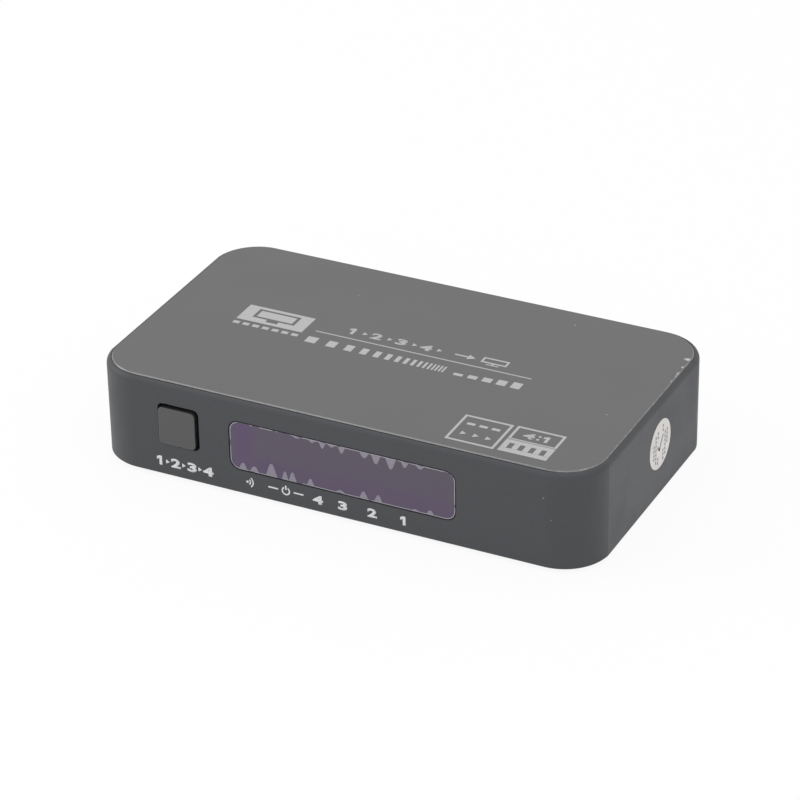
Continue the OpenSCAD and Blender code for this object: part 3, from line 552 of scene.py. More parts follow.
def creaseCorners(shell, s):
    # the corners run smoothly into the front and rear walls, and meet the side walls in a faint crease
    radius, reach = s["crease"]
    start = math.acos(reach / radius)
    for corner in shell.data.vertices:
        x, y = (abs(corner.co[i]) / mm - s["half"][i] + s["corner"] for i in (0, 1))
        if min(x, y) > -close:
            turn = start + math.atan2(max(y, 0), max(x, 0)) * (1 - 2 * start / math.pi)
            corner.co.x = math.copysign((s["half"][0] - reach + radius * math.cos(turn)) * mm, corner.co.x)
            corner.co.y = math.copysign((s["half"][1] - radius + radius * math.sin(turn)) * mm, corner.co.y)


def markCrease(shell, s):
    radius, reach = s["crease"]
    at = s["half"][1] - radius + math.sqrt(radius ** 2 - reach ** 2)

    def onCrease(p):
        return abs(p.x) > s["half"][0] - s["edge"] and at - 0.15 < abs(p.y) < at + close

    edit(shell)
    pickEdges(lambda a, b, e: onCrease(a) and onCrease(b) and abs(a.z - b.z) > close)
    bpy.ops.mesh.mark_sharp()
    leave()


def addBosses(shell, s):
    # screw bosses with their ribs
    for side in (-1, 1):
        for y in (-boss["at"][1], boss["at"][1]):
            x = side * boss["at"][0]
            post = addRod("post", boss["radius"], (x, y, s["cover"]), (x, y, boss["top"]))
            ends = sorted((x, side * (s["half"][0] - boss["ribSink"])))
            rib = addBlock("rib", (ends[0], y - boss["rib"] / 2, s["cover"] + boss["ribDrop"]),
                           (ends[1], y + boss["rib"] / 2, boss["top"]))
            combine(post, rib, "UNION")
            combine(shell, post, "UNION")
            combine(shell, addRod("pilot", boss["pilot"], (x, y, s["cover"] - 1), (x, y, boss["pilotTop"])))


def cutOpenings(shell, s):
    # button hole, recess and opening of the window
    b, w = button, window
    combine(shell, frontBlock("hole", b["holeAt"], b["hole"], b["hole"], b["holeCorner"], *s["frontCut"]))
    wide, high = (side + 2 * w["gap"] for side in w["size"])
    corner, start = w["corner"] + w["gap"], s["frontCut"][0]
    combine(shell, frontBlock("recess", w["at"], wide, high, corner, start, w["lens"][1]))
    wide, high = (side - 2 * w["ledge"] for side in w["size"])
    combine(shell, frontBlock("opening", w["at"], wide, high, w["corner"] - w["ledge"], *s["frontCut"]))
    # sockets and power jack in the rear wall
    for x in port["at"]:
        combine(shell, portBlock("cutout", x, port["sheet"] + port["gap"], *s["rearCut"]))
    x, z = jack["at"]
    near, far = s["rearCut"]
    combine(shell, addRod("jackHole", jack["hole"], (x, near, z), (x, far, z), "Y", 64))


def roundRims(shell, s):
    # a larger round over the button and on its right than on the other openings
    wall, at, half = s["half"][1], button["holeAt"], button["hole"] / 2
    flat = s["half"][0] - s["corner"] - 0.01

    def rim(p, q, edge):
        onWall = abs(abs(p.y) - wall) < close and abs(abs(q.y) - wall) < close
        turned = [face for face in edge.link_faces if abs(face.normal.y) < 0.5]
        deep = len(turned) == 1 and abs(turned[0].calc_center_median().y / mm) < wall - 0.2
        return onWall and deep and abs(p.x) < flat and s["low"] + 2 < p.z < s["roof"] - 0.5

    def byButton(p, q):
        x, z = ((p[i] + q[i]) / 2 - middle for i, middle in zip((0, 2), at))
        near = p.y < 0 and max(abs(x), abs(z)) < half + 0.1
        return near and max(x, z) > half - button["holeCorner"] * 0.7

    def byHole(p):
        return p.y < 0 and max(abs(p.x - at[0]), abs(p.z - at[1])) < half + 1

    bevelEdges(shell, lambda p, q, e: rim(p, q, e) and byButton(p, q), s["holeRound"], 6)
    bevelEdges(shell, lambda p, q, e: rim(p, q, e) and not byHole(p), s["rimRound"], 2)


def makeCase(s):
    shell = roundedBox("caseShell", 0, s["low"], s["rim"])
    creaseCorners(shell, s)
    bevelEdges(shell, level(2, s["rim"]), s["edge"], 8)
    bevelEdges(shell, level(2, s["low"]), s["base"])
    x, y = (half - inset for half, inset in zip(s["half"], s["rebate"]))
    low, high = (-x, -y, s["seat"]), (x, y, s["rim"] + s["past"])
    combine(shell, roundedBlock("seat", low, high, 2, s["corner"] - s["rebate"][1], 24))
    combine(shell, roundedBox("hollow", s["wall"], s["low"] - s["past"], s["roof"]))
    combine(shell, roundedBox("lip", s["lip"], s["low"] - s["past"], s["cover"]))
    addBosses(shell, s)
    cutOpenings(shell, s)
    roundRims(shell, s)
    markCrease(shell, s)
    smoothOff(shell)
    hand(shell, "case", [casePlastic], ["top_shell"])


makeCase(case)
print("case made")

panel = {"inset": 1.05, "low": 23.7, "face": 24.485, "chamfer": 0.25}


def makePanel(s):
    sheet = roundedBox("topPanel", s["inset"], s["low"], s["face"], 32)
    bevelEdges(sheet, level(2, s["face"]), s["chamfer"])
    hand(sheet, "case", [panelFace, panelEdge, panelSide], ["top_panel"])
    # chamfer and sides, by the tilt of their faces
    edit(sheet)
    for index, low, high in ((1, 0.3, 0.9), (2, -2, 0.3)):
        pickFaces(lambda at, normal: low < normal.z < high)
        sheet.active_material_index = index
        bpy.ops.object.material_slot_assign()
    leave()
    smoothOff(sheet)


makePanel(panel)
print("panel made")


def makeButton(s):
    cap = frontBlock("buttonCap", s["at"], s["width"], s["width"], s["corner"], s["face"],
                     s["flangeAt"][0] + overlap)
    bevelEdges(cap, level(1, s["face"]), s["edge"], 4)
    flange = frontBlock("flange", s["at"], s["flange"], s["flange"], s["corner"], *s["flangeAt"])
    combine(cap, flange, "UNION")
    x, z = s["at"]
    stem = addRod("stem", s["stem"], (x, s["flangeAt"][1] - overlap, z), (x, s["tip"], z), "Y", 40)
    combine(cap, stem, "UNION")
    hand(cap, "button", [buttonPlastic, buttonHighlight, buttonShade], ["select_button"])
    # the lower and left edges get a paler finish, a painted highlight on the rounded edge, and the sides a
    # near-black finish, painted shade of the hole
    for face in cap.data.polygons:
        front, sunk = face.normal.y < -0.99, face.normal.y > -0.2
        paleEdge = not front and face.normal.x + face.normal.z < -0.1
        face.material_index = 2 if sunk else 1 if paleEdge else 0
    smoothOff(cap)


makeButton(button)
print("button made")

# lifted patches of the film: place across the box, height and width, in mm
patch = {"up": ((-22.1, 1.6, 2.2), (-19.3, 1.35, 2.4), (-15.1, 3.0, 2.9), (-11.8, 1.95, 1.65),
                (-9.95, 2.15, 2.0), (-5.6, 1.65, 1.9), (1.6, 0.6, 2.6), (7.2, 1.7, 2.2), (10.7, 1.65, 2.1),
                (19.5, 0.4, 2.4), (23.0, 1.0, 2.1)),
         "down": ((-8.7, 0.4, 2.6), (-5.0, 0.6, 1.8), (-2.5, 1.4, 1.7), (-0.3, 0.6, 2.0), (2.1, 1.5, 1.8),
                  (7.5, 1.3, 2.4), (10.3, 2.1, 2.4), (13.8, 2.5, 2.6), (17.1, 1.3, 1.9), (20.7, 0.8, 2.2)),
         "lift": 0.05, "sink": 0.1, "band": 0.13}  # band: width of the pale rim


def makePatch():
    # a flat bell, 1 mm wide and 1 mm high on its base line
    halfWidths = (0.5, 0.42, 0.36, 0.305, 0.25, 0.185, 0.085)
    selectNone()
    bpy.ops.mesh.primitive_plane_add(size=mm)
    bell = bpy.context.object
    bell.location.y = 0.5 * mm
    settlePlace(bell)
    edit(bell)
    pickEdges(lambda a, b, e: abs(a.y - b.y) > 0.5)
    bpy.ops.mesh.subdivide(number_cuts=len(halfWidths) - 2)
    leave()
    for corner in bell.data.vertices:
        row = round(corner.co.y / mm * (len(halfWidths) - 1))
        corner.co.x = math.copysign(halfWidths[row] * mm, corner.co.x)
    return bell


def makePatches(s, z, high):
    # raised along the lower and upper edges
    bell = makePatch()
    spots = []
    for way, rows in ((1, patch["up"]), (-1, patch["down"])):
        for u, tall, broad in rows:
            twin = copyOf(bell, "patch")
            twin.scale = (broad, way * tall, 1)
            twin.rotation_euler = (math.pi / 2, 0, 0)
            twin.location = (u * mm, s["film"] * mm, (z - way * (high / 2 - patch["sink"])) * mm)
            settlePlace(twin)
            spots.append(twin)
    discard(bell)
    spots = joinPieces("patches", spots)
    editAll(spots)
    bpy.ops.mesh.normals_make_consistent(inside=False)
    leave()
    thicken(spots, patch["lift"])
    return spots


def makeWindow(s):
    lens = frontBlock("windowLens", s["at"], *s["size"], s["corner"], *s["lens"], 12)
    bevelEdges(lens, level(1, s["lens"][0]), s["lensRound"], 2)
    smoothOff(lens)
    hand(lens, "case", [lensTint], ["window_lens"])
    wide, high = (side - 2 * s["filmInset"] for side in s["size"])
    x, z = (at + shift for at, shift in zip(s["at"], s["filmShift"]))
    bend = s["corner"] - s["filmInset"]
    film = frontBlock("windowFilm", (x, z), wide, high, bend, s["film"], s["lens"][0], 12)
    edit(film)
    pickFaces(lambda at, normal: normal.y < -0.9)
    bpy.ops.mesh.inset(thickness=patch["band"] * mm, depth=0)
    leave()
    spots = makePatches(s, z, high)
    marks = len(spots.data.polygons)
    film = joinPieces("windowFilm", [film, spots])
    hand(film, "case", [filmClear, filmLifted, filmEdge], ["window_film"])
    total = len(film.data.polygons)
    for face in film.data.polygons:
        # distance outwards from the film's outline, less than nothing inside it
        at = face.center / mm
        over = Vector((abs(at.x - x) - wide / 2 + bend, abs(at.z - z) - high / 2 + bend))
        outward = (over.length if min(over) > 0 else max(over)) - bend
        rim = outward > -patch["band"] * 0.9
        face.material_index = 1 if face.index >= total - marks else 2 if rim else 0
    smoothOff(film)


makeWindow(window)
print("window made")


def flatBar(u, v, wide, high, turn=0):
    selectNone()
    bpy.ops.mesh.primitive_plane_add(size=1, location=(u * mm, v * mm, 0),
                                     rotation=(0, 0, math.radians(turn)))
    mark = bpy.context.object
    mark.scale = (wide * mm, high * mm, 1)
    settlePlace(mark)
    return mark


def keepOutline(mark, line):
    editAll(mark)
    bpy.ops.mesh.inset(thickness=line * mm, depth=0)
    bpy.ops.mesh.delete(type="FACE")
    leave()


def flatFrame(u, v, wide, high, line):
    mark = flatBar(u, v, wide, high)
    keepOutline(mark, line)
    return mark


def flatDisc(u, v, radius, sides=20, turn=0):
    selectNone()
    bpy.ops.mesh.primitive_circle_add(vertices=sides, radius=radius * mm, fill_type="NGON",
                                      location=(u * mm, v * mm, 0), rotation=(0, 0, math.radians(turn)))
    mark = bpy.context.object
    settlePlace(mark)
    return mark


def flatRing(u, v, radius, line, gap=None):
    mark = flatDisc(u, v, radius, 48)
    keepOutline(mark, line)
    if gap:
        edit(mark)
        pickFaces(lambda at, n: gap[0] < math.degrees(math.atan2(at.y - v, at.x - u)) % 360 < gap[1])
        bpy.ops.mesh.delete(type="FACE")
        leave()
    return mark


def flatArrow(u, v, size):
    # a triangle that points along +u
    return flatDisc(u, v, size, 3, -90)


def flatText(words, u, v, wide, high, bold):
    selectNone()
    bpy.ops.object.text_add()
    mark = bpy.context.object
    mark.data.body, mark.data.offset = words, bold
    mark.data.align_x, mark.data.align_y = "CENTER", "CENTER"
    bpy.ops.object.convert(target="MESH")
    mark = bpy.context.object
    spots = [corner.co for corner in mark.data.vertices]
    low = [min(p[i] for p in spots) for i in (0, 1)]
    top = [max(p[i] for p in spots) for i in (0, 1)]
    broad, tall = wide * mm / (top[0] - low[0]), high * mm / (top[1] - low[1])
    mark.scale = (broad, tall, 1)
    mark.location = (u * mm - broad * (low[0] + top[0]) / 2, v * mm - tall * (low[1] + top[1]) / 2, 0)
    settlePlace(mark)
    return mark


def flatOne(u, v, high, line):
    # a stem with a slanting flag
    stem = flatBar(u + 0.35 * line, v, line, high)
    flag = flatBar(u - 0.6 * line, v + high / 2 - 0.5 * line, 0.9 * line, line)
    edit(flag)
    pickEdges(lambda a, b, e: max(a.x, b.x) < u - line)
    bpy.ops.transform.translate(value=(0, -0.5 * line * mm, 0))
    leave()
    return joinPieces("one", [stem, flag])


# widths of the numbers for a height of 1, the stroke of the 1 and how far the others are thickened
digit = {"wide": {2: 1.05, 3: 1.0, 4: 1.14}, "stroke": 0.3, "bold": 0.045}


def flatNumber(number, u, v, high):
    if number == 1:
        return flatOne(u, v, high, digit["stroke"] * high)
    return flatText(str(number), u, v, digit["wide"][number] * high, high, digit["bold"])


def layMarks(name, marks, turn, at, finish, thick=0.016):
    sheet = joinPieces(name, marks)
    editAll(sheet)
    bpy.ops.mesh.remove_doubles(threshold=weld * mm)
    bpy.ops.mesh.normals_make_consistent(inside=False)
    leave()
    for face in sheet.data.polygons:
        if face.normal.z < 0:
            face.flip()
    thicken(sheet, thick)
    sheet.rotation_euler = [math.radians(a) for a in turn]
    sheet.location = Vector(at) * mm
    settlePlace(sheet)
    hand(sheet, "case", [finish])


def barsAt(middle, rows):
    # each row: place from the middle, width and height
    return [flatBar(middle[0] + across, middle[1] + up, *size) for across, up, *size in rows]


def screenMark(u, v, wide, high, line):
    return [flatFrame(u, v + 0.12 * high, wide, 0.76 * high, line),
            flatBar(u, v - 0.33 * high, line * 1.2, 0.16 * high),
            flatBar(u, v - 0.45 * high, wide * 0.5, 0.1 * high)]


frontMarks = {"level": -34.004, "numbers": ((4, -3.94), (3, 2.05), (2, 9.14), (1, 16.54)), "height": 2.2,
              "middle": 4.17, "select": (-37.19, 4.54), "steps": (-5.9, 4.05, 2.3), "arrows": (-4.0, 0.6),
              "remote": (-21.17, 4.44), "dot": 0.3, "waves": (0.9, 1.55), "wave": (0.3, (50, 310)),
              "power": (-11.74, 4.43), "ring": (1.05, 0.34, (60, 120)),
              "powerBars": ((0, 0.8, 0.36, 1.1), (-3.1, 0.05, 2.4, 0.36), (3.1, 0.05, 2.4, 0.36))}


def makeFrontMarks(s):
    marks = [flatNumber(number, x, s["middle"], s["height"]) for number, x in s["numbers"]]
    # stepping through the four inputs
    u, v = s["select"]
    start, pitch, high = s["steps"]
    marks += [flatNumber(i + 1, u + start + pitch * i, v, high) for i in range(4)]
    start, size = s["arrows"]
    marks += [flatArrow(u + start + pitch * i, v, size) for i in range(3)]
    # remote control: a dot and two waves
    marks.append(flatDisc(*s["remote"], s["dot"]))
    marks += [flatRing(*s["remote"], radius, *s["wave"]) for radius in s["waves"]]
    # power symbol between two dashes
    marks.append(flatRing(*s["power"], *s["ring"]))
    marks += barsAt(s["power"], s["powerBars"])
    layMarks("frontMarks", marks, (90, 0, 0), (0, s["level"], 0), whiteInk)


makeFrontMarks(frontMarks)

panelMarks = {"level": 24.49, "line": 0.6, "sign": (-32.67, 2.23),
              "signBars": ((0, 3, 10.5, 1), (0, -3, 10.5, 1), (0, 0.5, 8.9, 2.7), (-6.74, 0, 3, 7),
                           (-3.35, -2, 3.8, 1), (6.74, 0, 3, 7), (3.35, -2, 3.8, 1)),
              "row": (-40.02, -2.86), "rowPitch": 2.45, "rowBlock": (1.6, 1.1),
              "rule": (4.46, 0.71, 52.62, 0.35),
              "sources": (-14.35, 3.97), "sourcePitch": 6.1, "sourceHeight": 2.6, "pointer": (3.1, 0.75),
              "arrow": (12.5, 3.97, 3.2, 0.5), "arrowHead": (14.7, 3.97, 1.2),
              "screen": (20.5, 3.97, 6.2, 3.1, 0.5),
              "bars": (-22.06, -3.33), "barHeight": 2.6, "barWidths": (2.6, 0.42), "barShrink": 0.86,
              "barsEnd": 12, "blocks": (15.48, 3.4), "blockWidth": 2.2, "blockStep": 0.4,
              "outlined": (30.15, -24.55), "outlinedSize": (11.3, 10.9), "itemPitch": 2.9,
              "dash": (2.15, 1.9, 0.9), "play": (-0.1, -1.95, 0.85),
              "filled": (42.28, -24.4), "filledFrame": (2.6, 11.2, 5.8), "ratio": ((4, -1.7), (1, 2.1)),
              "ratioMiddle": 2.5, "ratioHeight": 2.4,
              "filledBars": ((0.45, 1.85, 0.6, 0.6), (0.45, 3.15, 0.6, 0.6), (0, -0.9, 11.2, 1.5),
                             (0, -4.65, 11.2, 1.5), (-4.95, -2.8, 1.3, 2.3), (-2.475, -2.8, 1.3, 2.3),
                             (0, -2.8, 1.3, 2.3), (2.475, -2.8, 1.3, 2.3), (4.95, -2.8, 1.3, 2.3))}


def makePanelMarks(s):
    # filled sign with a screen left open in it, and a row of blocks below
    marks = barsAt(s["sign"], s["signBars"])
    u, v = s["row"]
    marks += [flatBar(u + s["rowPitch"] * i, v, *s["rowBlock"]) for i in range(7)]
    # dividing line
    marks.append(flatBar(*s["rule"]))
    # four numbered sources, an arrow and a screen
    u, v = s["sources"]
    aside, size = s["pointer"]
    for i in range(4):
        at = u + s["sourcePitch"] * i
        marks += [flatNumber(i + 1, at, v, s["sourceHeight"]), flatArrow(at + aside, v, size)]
    marks += [flatBar(*s["arrow"]), flatArrow(*s["arrowHead"]), *screenMark(*s["screen"])]
    # sweep of test bars, broad to fine, and five rising blocks
    u, v = s["bars"]
    wide, least = s["barWidths"]
    while u + wide < s["barsEnd"]:
        marks.append(flatBar(u + wide / 2, v, wide, s["barHeight"]))
        u, wide = u + 2 * wide, max(least, wide * s["barShrink"])
    start, pitch = s["blocks"]
    for i in range(5):
        short = s["blockStep"] * (4 - i)
        marks.append(flatBar(start + pitch * i, v - short / 2, s["blockWidth"], s["barHeight"] - short))
    # outlined box with a row of dashes and a row of arrows
    u, v = s["outlined"]
    marks.append(flatFrame(u, v, *s["outlinedSize"], s["line"]))
    up, wide, high = s["dash"]
    aside, down, size = s["play"]
    for i in (-1, 0, 1):
        at = u + s["itemPitch"] * i
        marks += [flatBar(at, v + up, wide, high), flatArrow(at + aside, v + down, size)]
    # half filled box: the ratio of inputs to outputs over four dots left open
    u, v = s["filled"]
    up, wide, high = s["filledFrame"]
    marks.append(flatFrame(u, v + up, wide, high, s["line"]))
    up, high = s["ratioMiddle"], s["ratioHeight"]
    marks += [flatNumber(number, u + aside, v + up, high) for number, aside in s["ratio"]]
    marks += barsAt(s["filled"], s["filledBars"])
    layMarks("panelMarks", marks, (0, 0, 0), (0, 0, s["level"]), panelInk)


makePanelMarks(panelMarks)

rearMarks = {"level": 34.004, "height": 2.2, "middle": 19.1, "screen": (1.2, 4.2, 2.8, 0.36),
             "arrow": (-3.4, 1.8, 0.4), "arrowHead": (-2.2, 0.7), "supply": 8.7,
             # ring and dot of the plug, its two leads, and the signs at their ends
             "ring": (1.3, 0.3, (320, 360)), "dot": 0.45, "leads": ((1.9, 0, 2.9, 0.3), (-2.3, 0, 1.9, 0.3)),
             "sign": (4.2, 0.95, 0.24, 1.0)}


def makeRearMarks(s):
    v = s["middle"]
    marks = [flatNumber(i + 1, -x, v, s["height"]) for i, x in enumerate(port["at"][:4])]
    # the output has a screen with an arrow into it
    u = -port["at"][4]
    aside, *sizes = s["screen"]
    marks += screenMark(u + aside, v, *sizes)
    aside, *sizes = s["arrow"]
    marks.append(flatBar(u + aside, v, *sizes))
    aside, size = s["arrowHead"]
    marks.append(flatArrow(u + aside, v, size))
    # direct current, centre pin positive
    u, v = -jack["at"][0], s["supply"]
    marks += [flatRing(u, v, *s["ring"]), flatDisc(u, v, s["dot"]), *barsAt((u, v), s["leads"])]
    aside, radius, line, wide = s["sign"]
    marks.append(flatBar(u + aside, v, line, wide))
    for at in (u - aside, u + aside):
        marks += [flatRing(at, v, radius, line), flatBar(at, v, wide, line)]
    layMarks("rearMarks", marks, (90, 0, 180), (0, s["level"], 0), whiteInk)


makeRearMarks(rearMarks)
print("marks made")

seal = {"wall": 60, "at": (3.4, 13.9), "radius": 5.75, "thick": 0.085, "edge": 0.04, "ink": 0.012,
        "lift": 0.004,
        # strokes of the tick: middle, size and turn
        "tick": ((-0.95, -0.75, 0.6, 1.9, 45), (0.45, 0.3, 0.6, 3.8, -35)),
        # columns of dashes: place, lowest dash and how many
        "dashes": ((-3.6, -2.1, 4), (-2.5, -3.4, 7), (-1.3, 2.3, 2), (-1.4, -4.1, 2), (1.5, -4.2, 3),
                   (1.4, 2.9, 2), (2.6, -3.3, 6), (3.7, -1.1, 4)),
        "dash": (0.62, 0.72), "pitch": 1.02}


def makeSeal(s):
    y, z = s["at"]
    face = s["wall"] + s["thick"]
    paper = addRod("paperSeal", s["radius"], (s["wall"], y, z), (face, y, z), "X", 72)
    bevelEdges(paper, level(0, face), s["edge"], 2)
    smoothOff(paper)
    hand(paper, "case", [sealPaper], ["inspection_seal"])
    # a tick among columns of dashes
    marks = [flatBar(*stroke) for stroke in s["tick"]]
    for u, low, count in s["dashes"]:
        marks += [flatBar(u, low + s["pitch"] * i, *s["dash"]) for i in range(count)]
    layMarks("sealMarks", marks, (90, 0, 90), (face + s["lift"], y, z), sealInk, s["ink"])


makeSeal(seal)
print("seal made")


def roundBends(piece, upper, lower):
    bevelEdges(piece, lambda p, q, e: along(1)(p, q, e) and p.z > port["axis"], upper, 5)
    bevelEdges(piece, lambda p, q, e: along(1)(p, q, e) and p.z < port["axis"], lower, 4)


def makeSpring(s, x, y, z, way):
    # a strip bent into the socket, with its root in the sheet and its tip towards the mouth
    long, start = s["springSlot"][1], y - s["springRoot"]
    selectNone()
    bpy.ops.mesh.primitive_plane_add(size=1, location=(x * mm, (start + long / 2) * mm, z * mm))
    spring = bpy.context.object
    spring.scale = (s["springWidth"] * mm, long * mm, 1)
    settlePlace(spring)
    edit(spring)
    pickEdges(along(1))
    bpy.ops.mesh.subdivide(number_cuts=9)
    leave()
    for corner in spring.data.vertices:
        share = (corner.co.y / mm - start) / long
        corner.co.z -= way * s["springDip"] * math.sin(s["springTurn"] * share) * mm
    thicken(spring, s["springSheet"])
    return spring


def makePortShell(s):
    back, mouth = s["along"]
    shell = portBlock("portShell", 0, s["sheet"], back, mouth)
    roundBends(shell, *s["outerBends"])
    inside = portBlock("inside", 0, 0, back + s["sheet"], mouth + 1)
    roundBends(inside, *s["innerBends"])
    combine(shell, inside)
    bevelEdges(shell, level(1, mouth), s["mouthRound"], 2)
    pieces = [shell]
    # springs in their slots, two above and two below
    wide, long, deep = s["springSlot"]
    y = mouth - s["springBack"] - long
    for way, x in s["springs"]:
        z = s["axis"] + way * (s["height"] + s["sheet"]) / 2
        slot = addBlock("slot", (x - wide / 2, y, z - deep / 2), (x + wide / 2, y + long, z + deep / 2))
        combine(shell, slot)
        pieces.append(makeSpring(s, x, y, z, way))
    # legs through the board, with blunt tips
    for side in (-1, 1):
        x = side * (s["width"] + s["sheet"]) / 2
        for y in s["legs"]:
            leg = addBlock("leg", (x - s["sheet"] / 2, y - s["legWidth"] / 2, s["tail"]),
                           (x + s["sheet"] / 2, y + s["legWidth"] / 2, s["legTop"]))
            bevelEdges(leg, lambda p, q, e: along(0)(p, q, e) and p.z < s["tail"] + close, s["legRound"], 2)
            pieces.append(leg)
    shell = joinPieces("portShell", pieces)
    smoothOff(shell)
    return shell


def makePortBody(s):
    body = portBlock("portBody", 0, -s["fit"], *s["block"])
    x, z = (side / 2 for side in s["tongue"])
    root = s["block"][1] - s["tongueRoot"]
    tongue = addBlock("tongue", (-x, root, s["axis"] - z), (x, s["tongueTip"], s["axis"] + z))
    bevelEdges(tongue, level(1, s["tongueTip"]), s["tipRound"], 3)
    combine(body, tongue, "UNION")
    smoothOff(body)
    return body


def makePorts(s):
    shell, body = makePortShell(s), makePortBody(s)
    for i, (node, x) in enumerate(zip(s["nodes"], s["at"])):
        for part, master, slot, finish in (("shell", shell, "bright_metal", brightMetal),
                                           ("insulator", body, "black_plastic", blackPlastic)):
            twin = copyOf(master, master.name + str(i + 1))
            twin.location.x = x * mm
            settlePlace(twin)
            hand(twin, "case", [finish], [node + "_" + part])
    for master in (shell, body):
        discard(master)


makePorts(port)
print("ports made")

jackNose = {"mouth": 34, "round": 0.28}
cover = {"low": 1, "round": 0.2}


def weldedCopy(node, name):
    piece = bpy.data.objects.new(name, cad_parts[node].data.copy())
    bpy.context.collection.objects.link(piece)
    editAll(piece)
    bpy.ops.mesh.remove_doubles(threshold=weld * mm)
    bpy.ops.mesh.dissolve_limited(angle_limit=math.radians(0.5))
    leave()
    return piece


def rimOf(axis, height):
    # edges where a face at that height meets a wall, without the edges that only divide the face
    return lambda a, b, edge: (level(axis, height)(a, b, edge)
                               and any(abs(face.normal[axis]) < 0.5 for face in edge.link_faces))


def makeJack(s):
    housing = weldedCopy("jack_housing", "jackHousing")
    bevelEdges(housing, rimOf(1, s["mouth"]), s["round"], 3)
    smoothOff(housing)
    hand(housing, "case", [blackPlastic], ["jack_housing"])


def makeCover(s):
    plate = weldedCopy("bottom_cover", "bottomCover")
    bevelEdges(plate, rimOf(2, s["low"]), s["round"], 2)
    smoothOff(plate)
    hand(plate, "case", [coverPlastic], ["bottom_cover"])


def makeDome():
    # the tact switch's spring, which goes flat under the plunger, on a mesh of its own
    spring = weldedCopy("switch_dome", "snapDome")
    smoothOff(spring)
    hand(spring, "case", [springSteel], ["switch_dome"])
    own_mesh(spring)


makeJack(jackNose)
makeCover(cover)
makeDome()

foot = {"radius": 4, "height": 1.5, "round": 0.4, "ring": 1.0, "slope": 0.35, "dish": 0.3,
        "nodes": ("foot_front_left", "foot_front_right", "foot_rear_left", "foot_rear_right")}


def makeFeet(s):
    pad = addRod("pad", s["radius"], (0, 0, 0), (0, 0, s["height"]), "Z", 64)
    bevelEdges(pad, level(2, 0), s["round"], 4)
    # shallow dish in the underside
    edit(pad)
    pickFaces(lambda at, normal: normal.z < -0.99)
    bpy.ops.mesh.inset(thickness=s["ring"] * mm, depth=0)
    bpy.ops.mesh.inset(thickness=s["slope"] * mm, depth=-s["dish"] * mm)
    leave()
    smoothOff(pad)
    for node in s["nodes"]:
        first, *rest = node.split("_")
        twin = copyOf(pad, first + "".join(word.capitalize() for word in rest))
        low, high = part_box(node)
        twin.location = ((low[0] + high[0]) / 2, (low[1] + high[1]) / 2, 0)
        settlePlace(twin)
        hand(twin, "case", [footRubber], [node])
    discard(pad)


makeFeet(foot)
print("jack, cover, dome and feet made")

slotFinish = {"case_plastic": casePlastic, "cover_plastic": coverPlastic, "panel_sheet": panelFace,
              "adhesive": adhesive, "tinted_lens": lensTint, "clear_film": filmClear,
              "button_plastic": buttonPlastic, "black_plastic": blackPlastic, "spring_steel": springSteel,
              "bright_metal": brightMetal, "tinned_metal": tinnedMetal, "gold": gold, "board": boardMask,
              "receiver_resin": receiverResin, "lamp_resin": lampResin, "chip_resin": chipResin,
              "thermal_rubber": thermalRubber, "sink_metal": sinkMetal, "can_metal": canMetal,
              "ferrite": ferrite, "dark_steel": darkSteel, "zinc_steel": zincSteel,
              "foot_rubber": footRubber, "seal_paper": sealPaper}


def dressNodes():
    for name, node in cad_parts.items():
        for place in node.material_slots:
            label = place.material.name.split(".")[0] if place.material else ""
            if label in slotFinish:
                place.material = slotFinish[label]
            else:
                print("no finish for", name, label)


dressNodes()
print("nodes dressed")

studio = {"world": 0.7, "floor": 0.97, "floorSize": 6, "glow": 0.92, "lamps": {
    "top": {"at": (-0.1, 0.2, 1.1), "along": (1, 0, 0), "size": (0.9, 0.9), "power": 1.2},
    "left": {"at": (-1.0, -0.3, 0.45), "along": (0, 1, 0), "size": (0.6, 0.6), "power": 3.2},
    "corner": {"at": (0.46, -0.29, 0.95), "along": (0.9, 0.55, 0), "size": (1.0, 0.08), "power": 1.7},
    "front": {"at": (-0.56, -0.62, 0.95), "along": (1, 0, 0), "size": (0.36, 0.1), "power": 0.45}}}


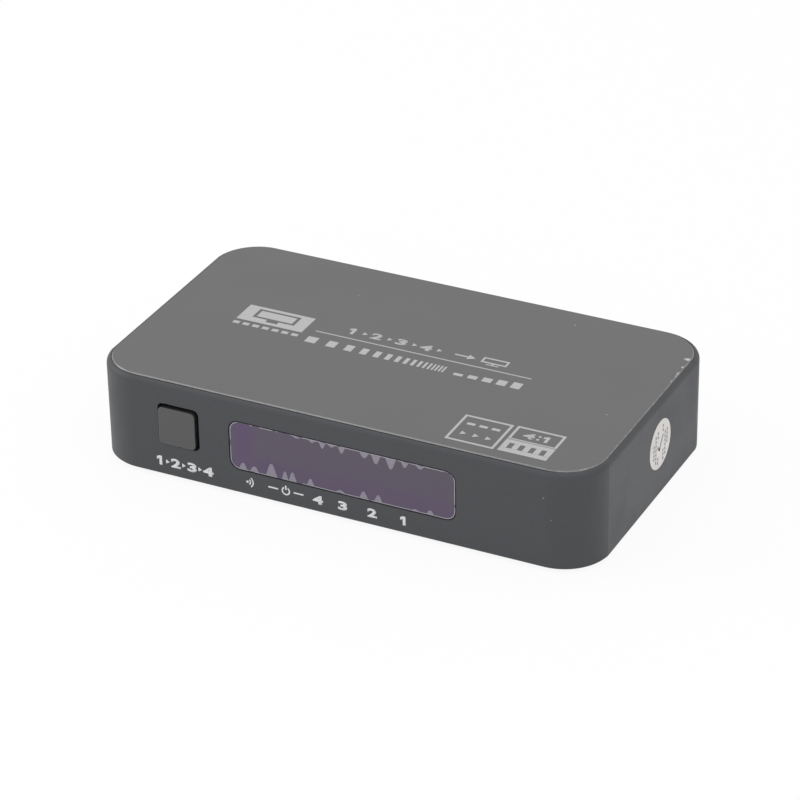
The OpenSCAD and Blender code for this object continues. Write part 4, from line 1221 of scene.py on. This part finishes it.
def seenRays(tree):
    # 1 for the rays that show the background, 0 for those that light the object
    path = tree.nodes.new("ShaderNodeLightPath")
    seen = Wire(tree, path.outputs["Is Camera Ray"])
    for name in ("Is Glossy Ray", "Is Transmission Ray"):
        seen = seen.maths("MAXIMUM", seen, Wire(tree, path.outputs[name]))
    return seen


def makeFloor(s):
    selectNone()
    bpy.ops.mesh.primitive_plane_add(size=s["floorSize"], location=(0, 0, 0))
    floor = bpy.context.object
    floor.name = "floor"
    finish = bpy.data.materials.new("paleFloor")
    finish.use_nodes = True
    tree = finish.node_tree
    tree.nodes.clear()
    cloud = noise(Wire(tree, tree.nodes.new("ShaderNodeTexCoord").outputs["Object"]), 3, 2.0)
    dim, pale = (tint((1, 1, 1), s["floor"] - drop) for drop in (0.01, 0))
    matt = cloud.node("BsdfDiffuse", {}, {"Color": shade(cloud, dim, pale)})
    glow = cloud.node("Emission", {}, {"Color": (1, 1, 1, 1), "Strength": 1.0})
    mixed = cloud.node("MixShader", {}, {0: seenRays(tree) * s["glow"], 1: matt, 2: glow})
    tree.links.new(mixed.socket, tree.nodes.new("ShaderNodeOutputMaterial").inputs["Surface"])
    floor.data.materials.append(finish)


def makeLamps(lamps):
    for name, lamp in lamps.items():
        bpy.ops.object.light_add(type="AREA")
        light = bpy.context.object
        light.name = name + "Lamp"
        light.data.shape, light.data.energy = "RECTANGLE", lamp["power"]
        light.data.size, light.data.size_y = lamp["size"]
        # turned towards the middle of the floor
        away = Vector(lamp["at"]).normalized()
        across = away.cross(Vector(lamp["along"])).normalized()
        pose = Matrix((across.cross(away), across, away)).transposed().to_4x4()
        pose.translation = Vector(lamp["at"])
        light.matrix_world = pose


def makeStudio(s):
    makeFloor(s)
    makeLamps(s["lamps"])
    world = bpy.data.worlds.new("studio")
    bpy.context.scene.world = world
    world.use_nodes = True
    tree = world.node_tree
    tree.nodes.clear()
    seen = seenRays(tree)
    strength = s["world"] + seen * (1 - s["world"])
    sky = seen.node("Background", {}, {"Color": (1, 1, 1, 1), "Strength": strength})
    tree.links.new(sky.socket, tree.nodes.new("ShaderNodeOutputWorld").inputs["Surface"])
    bpy.context.scene.view_settings.view_transform = "Standard"


makeStudio(studio)
print("studio set")
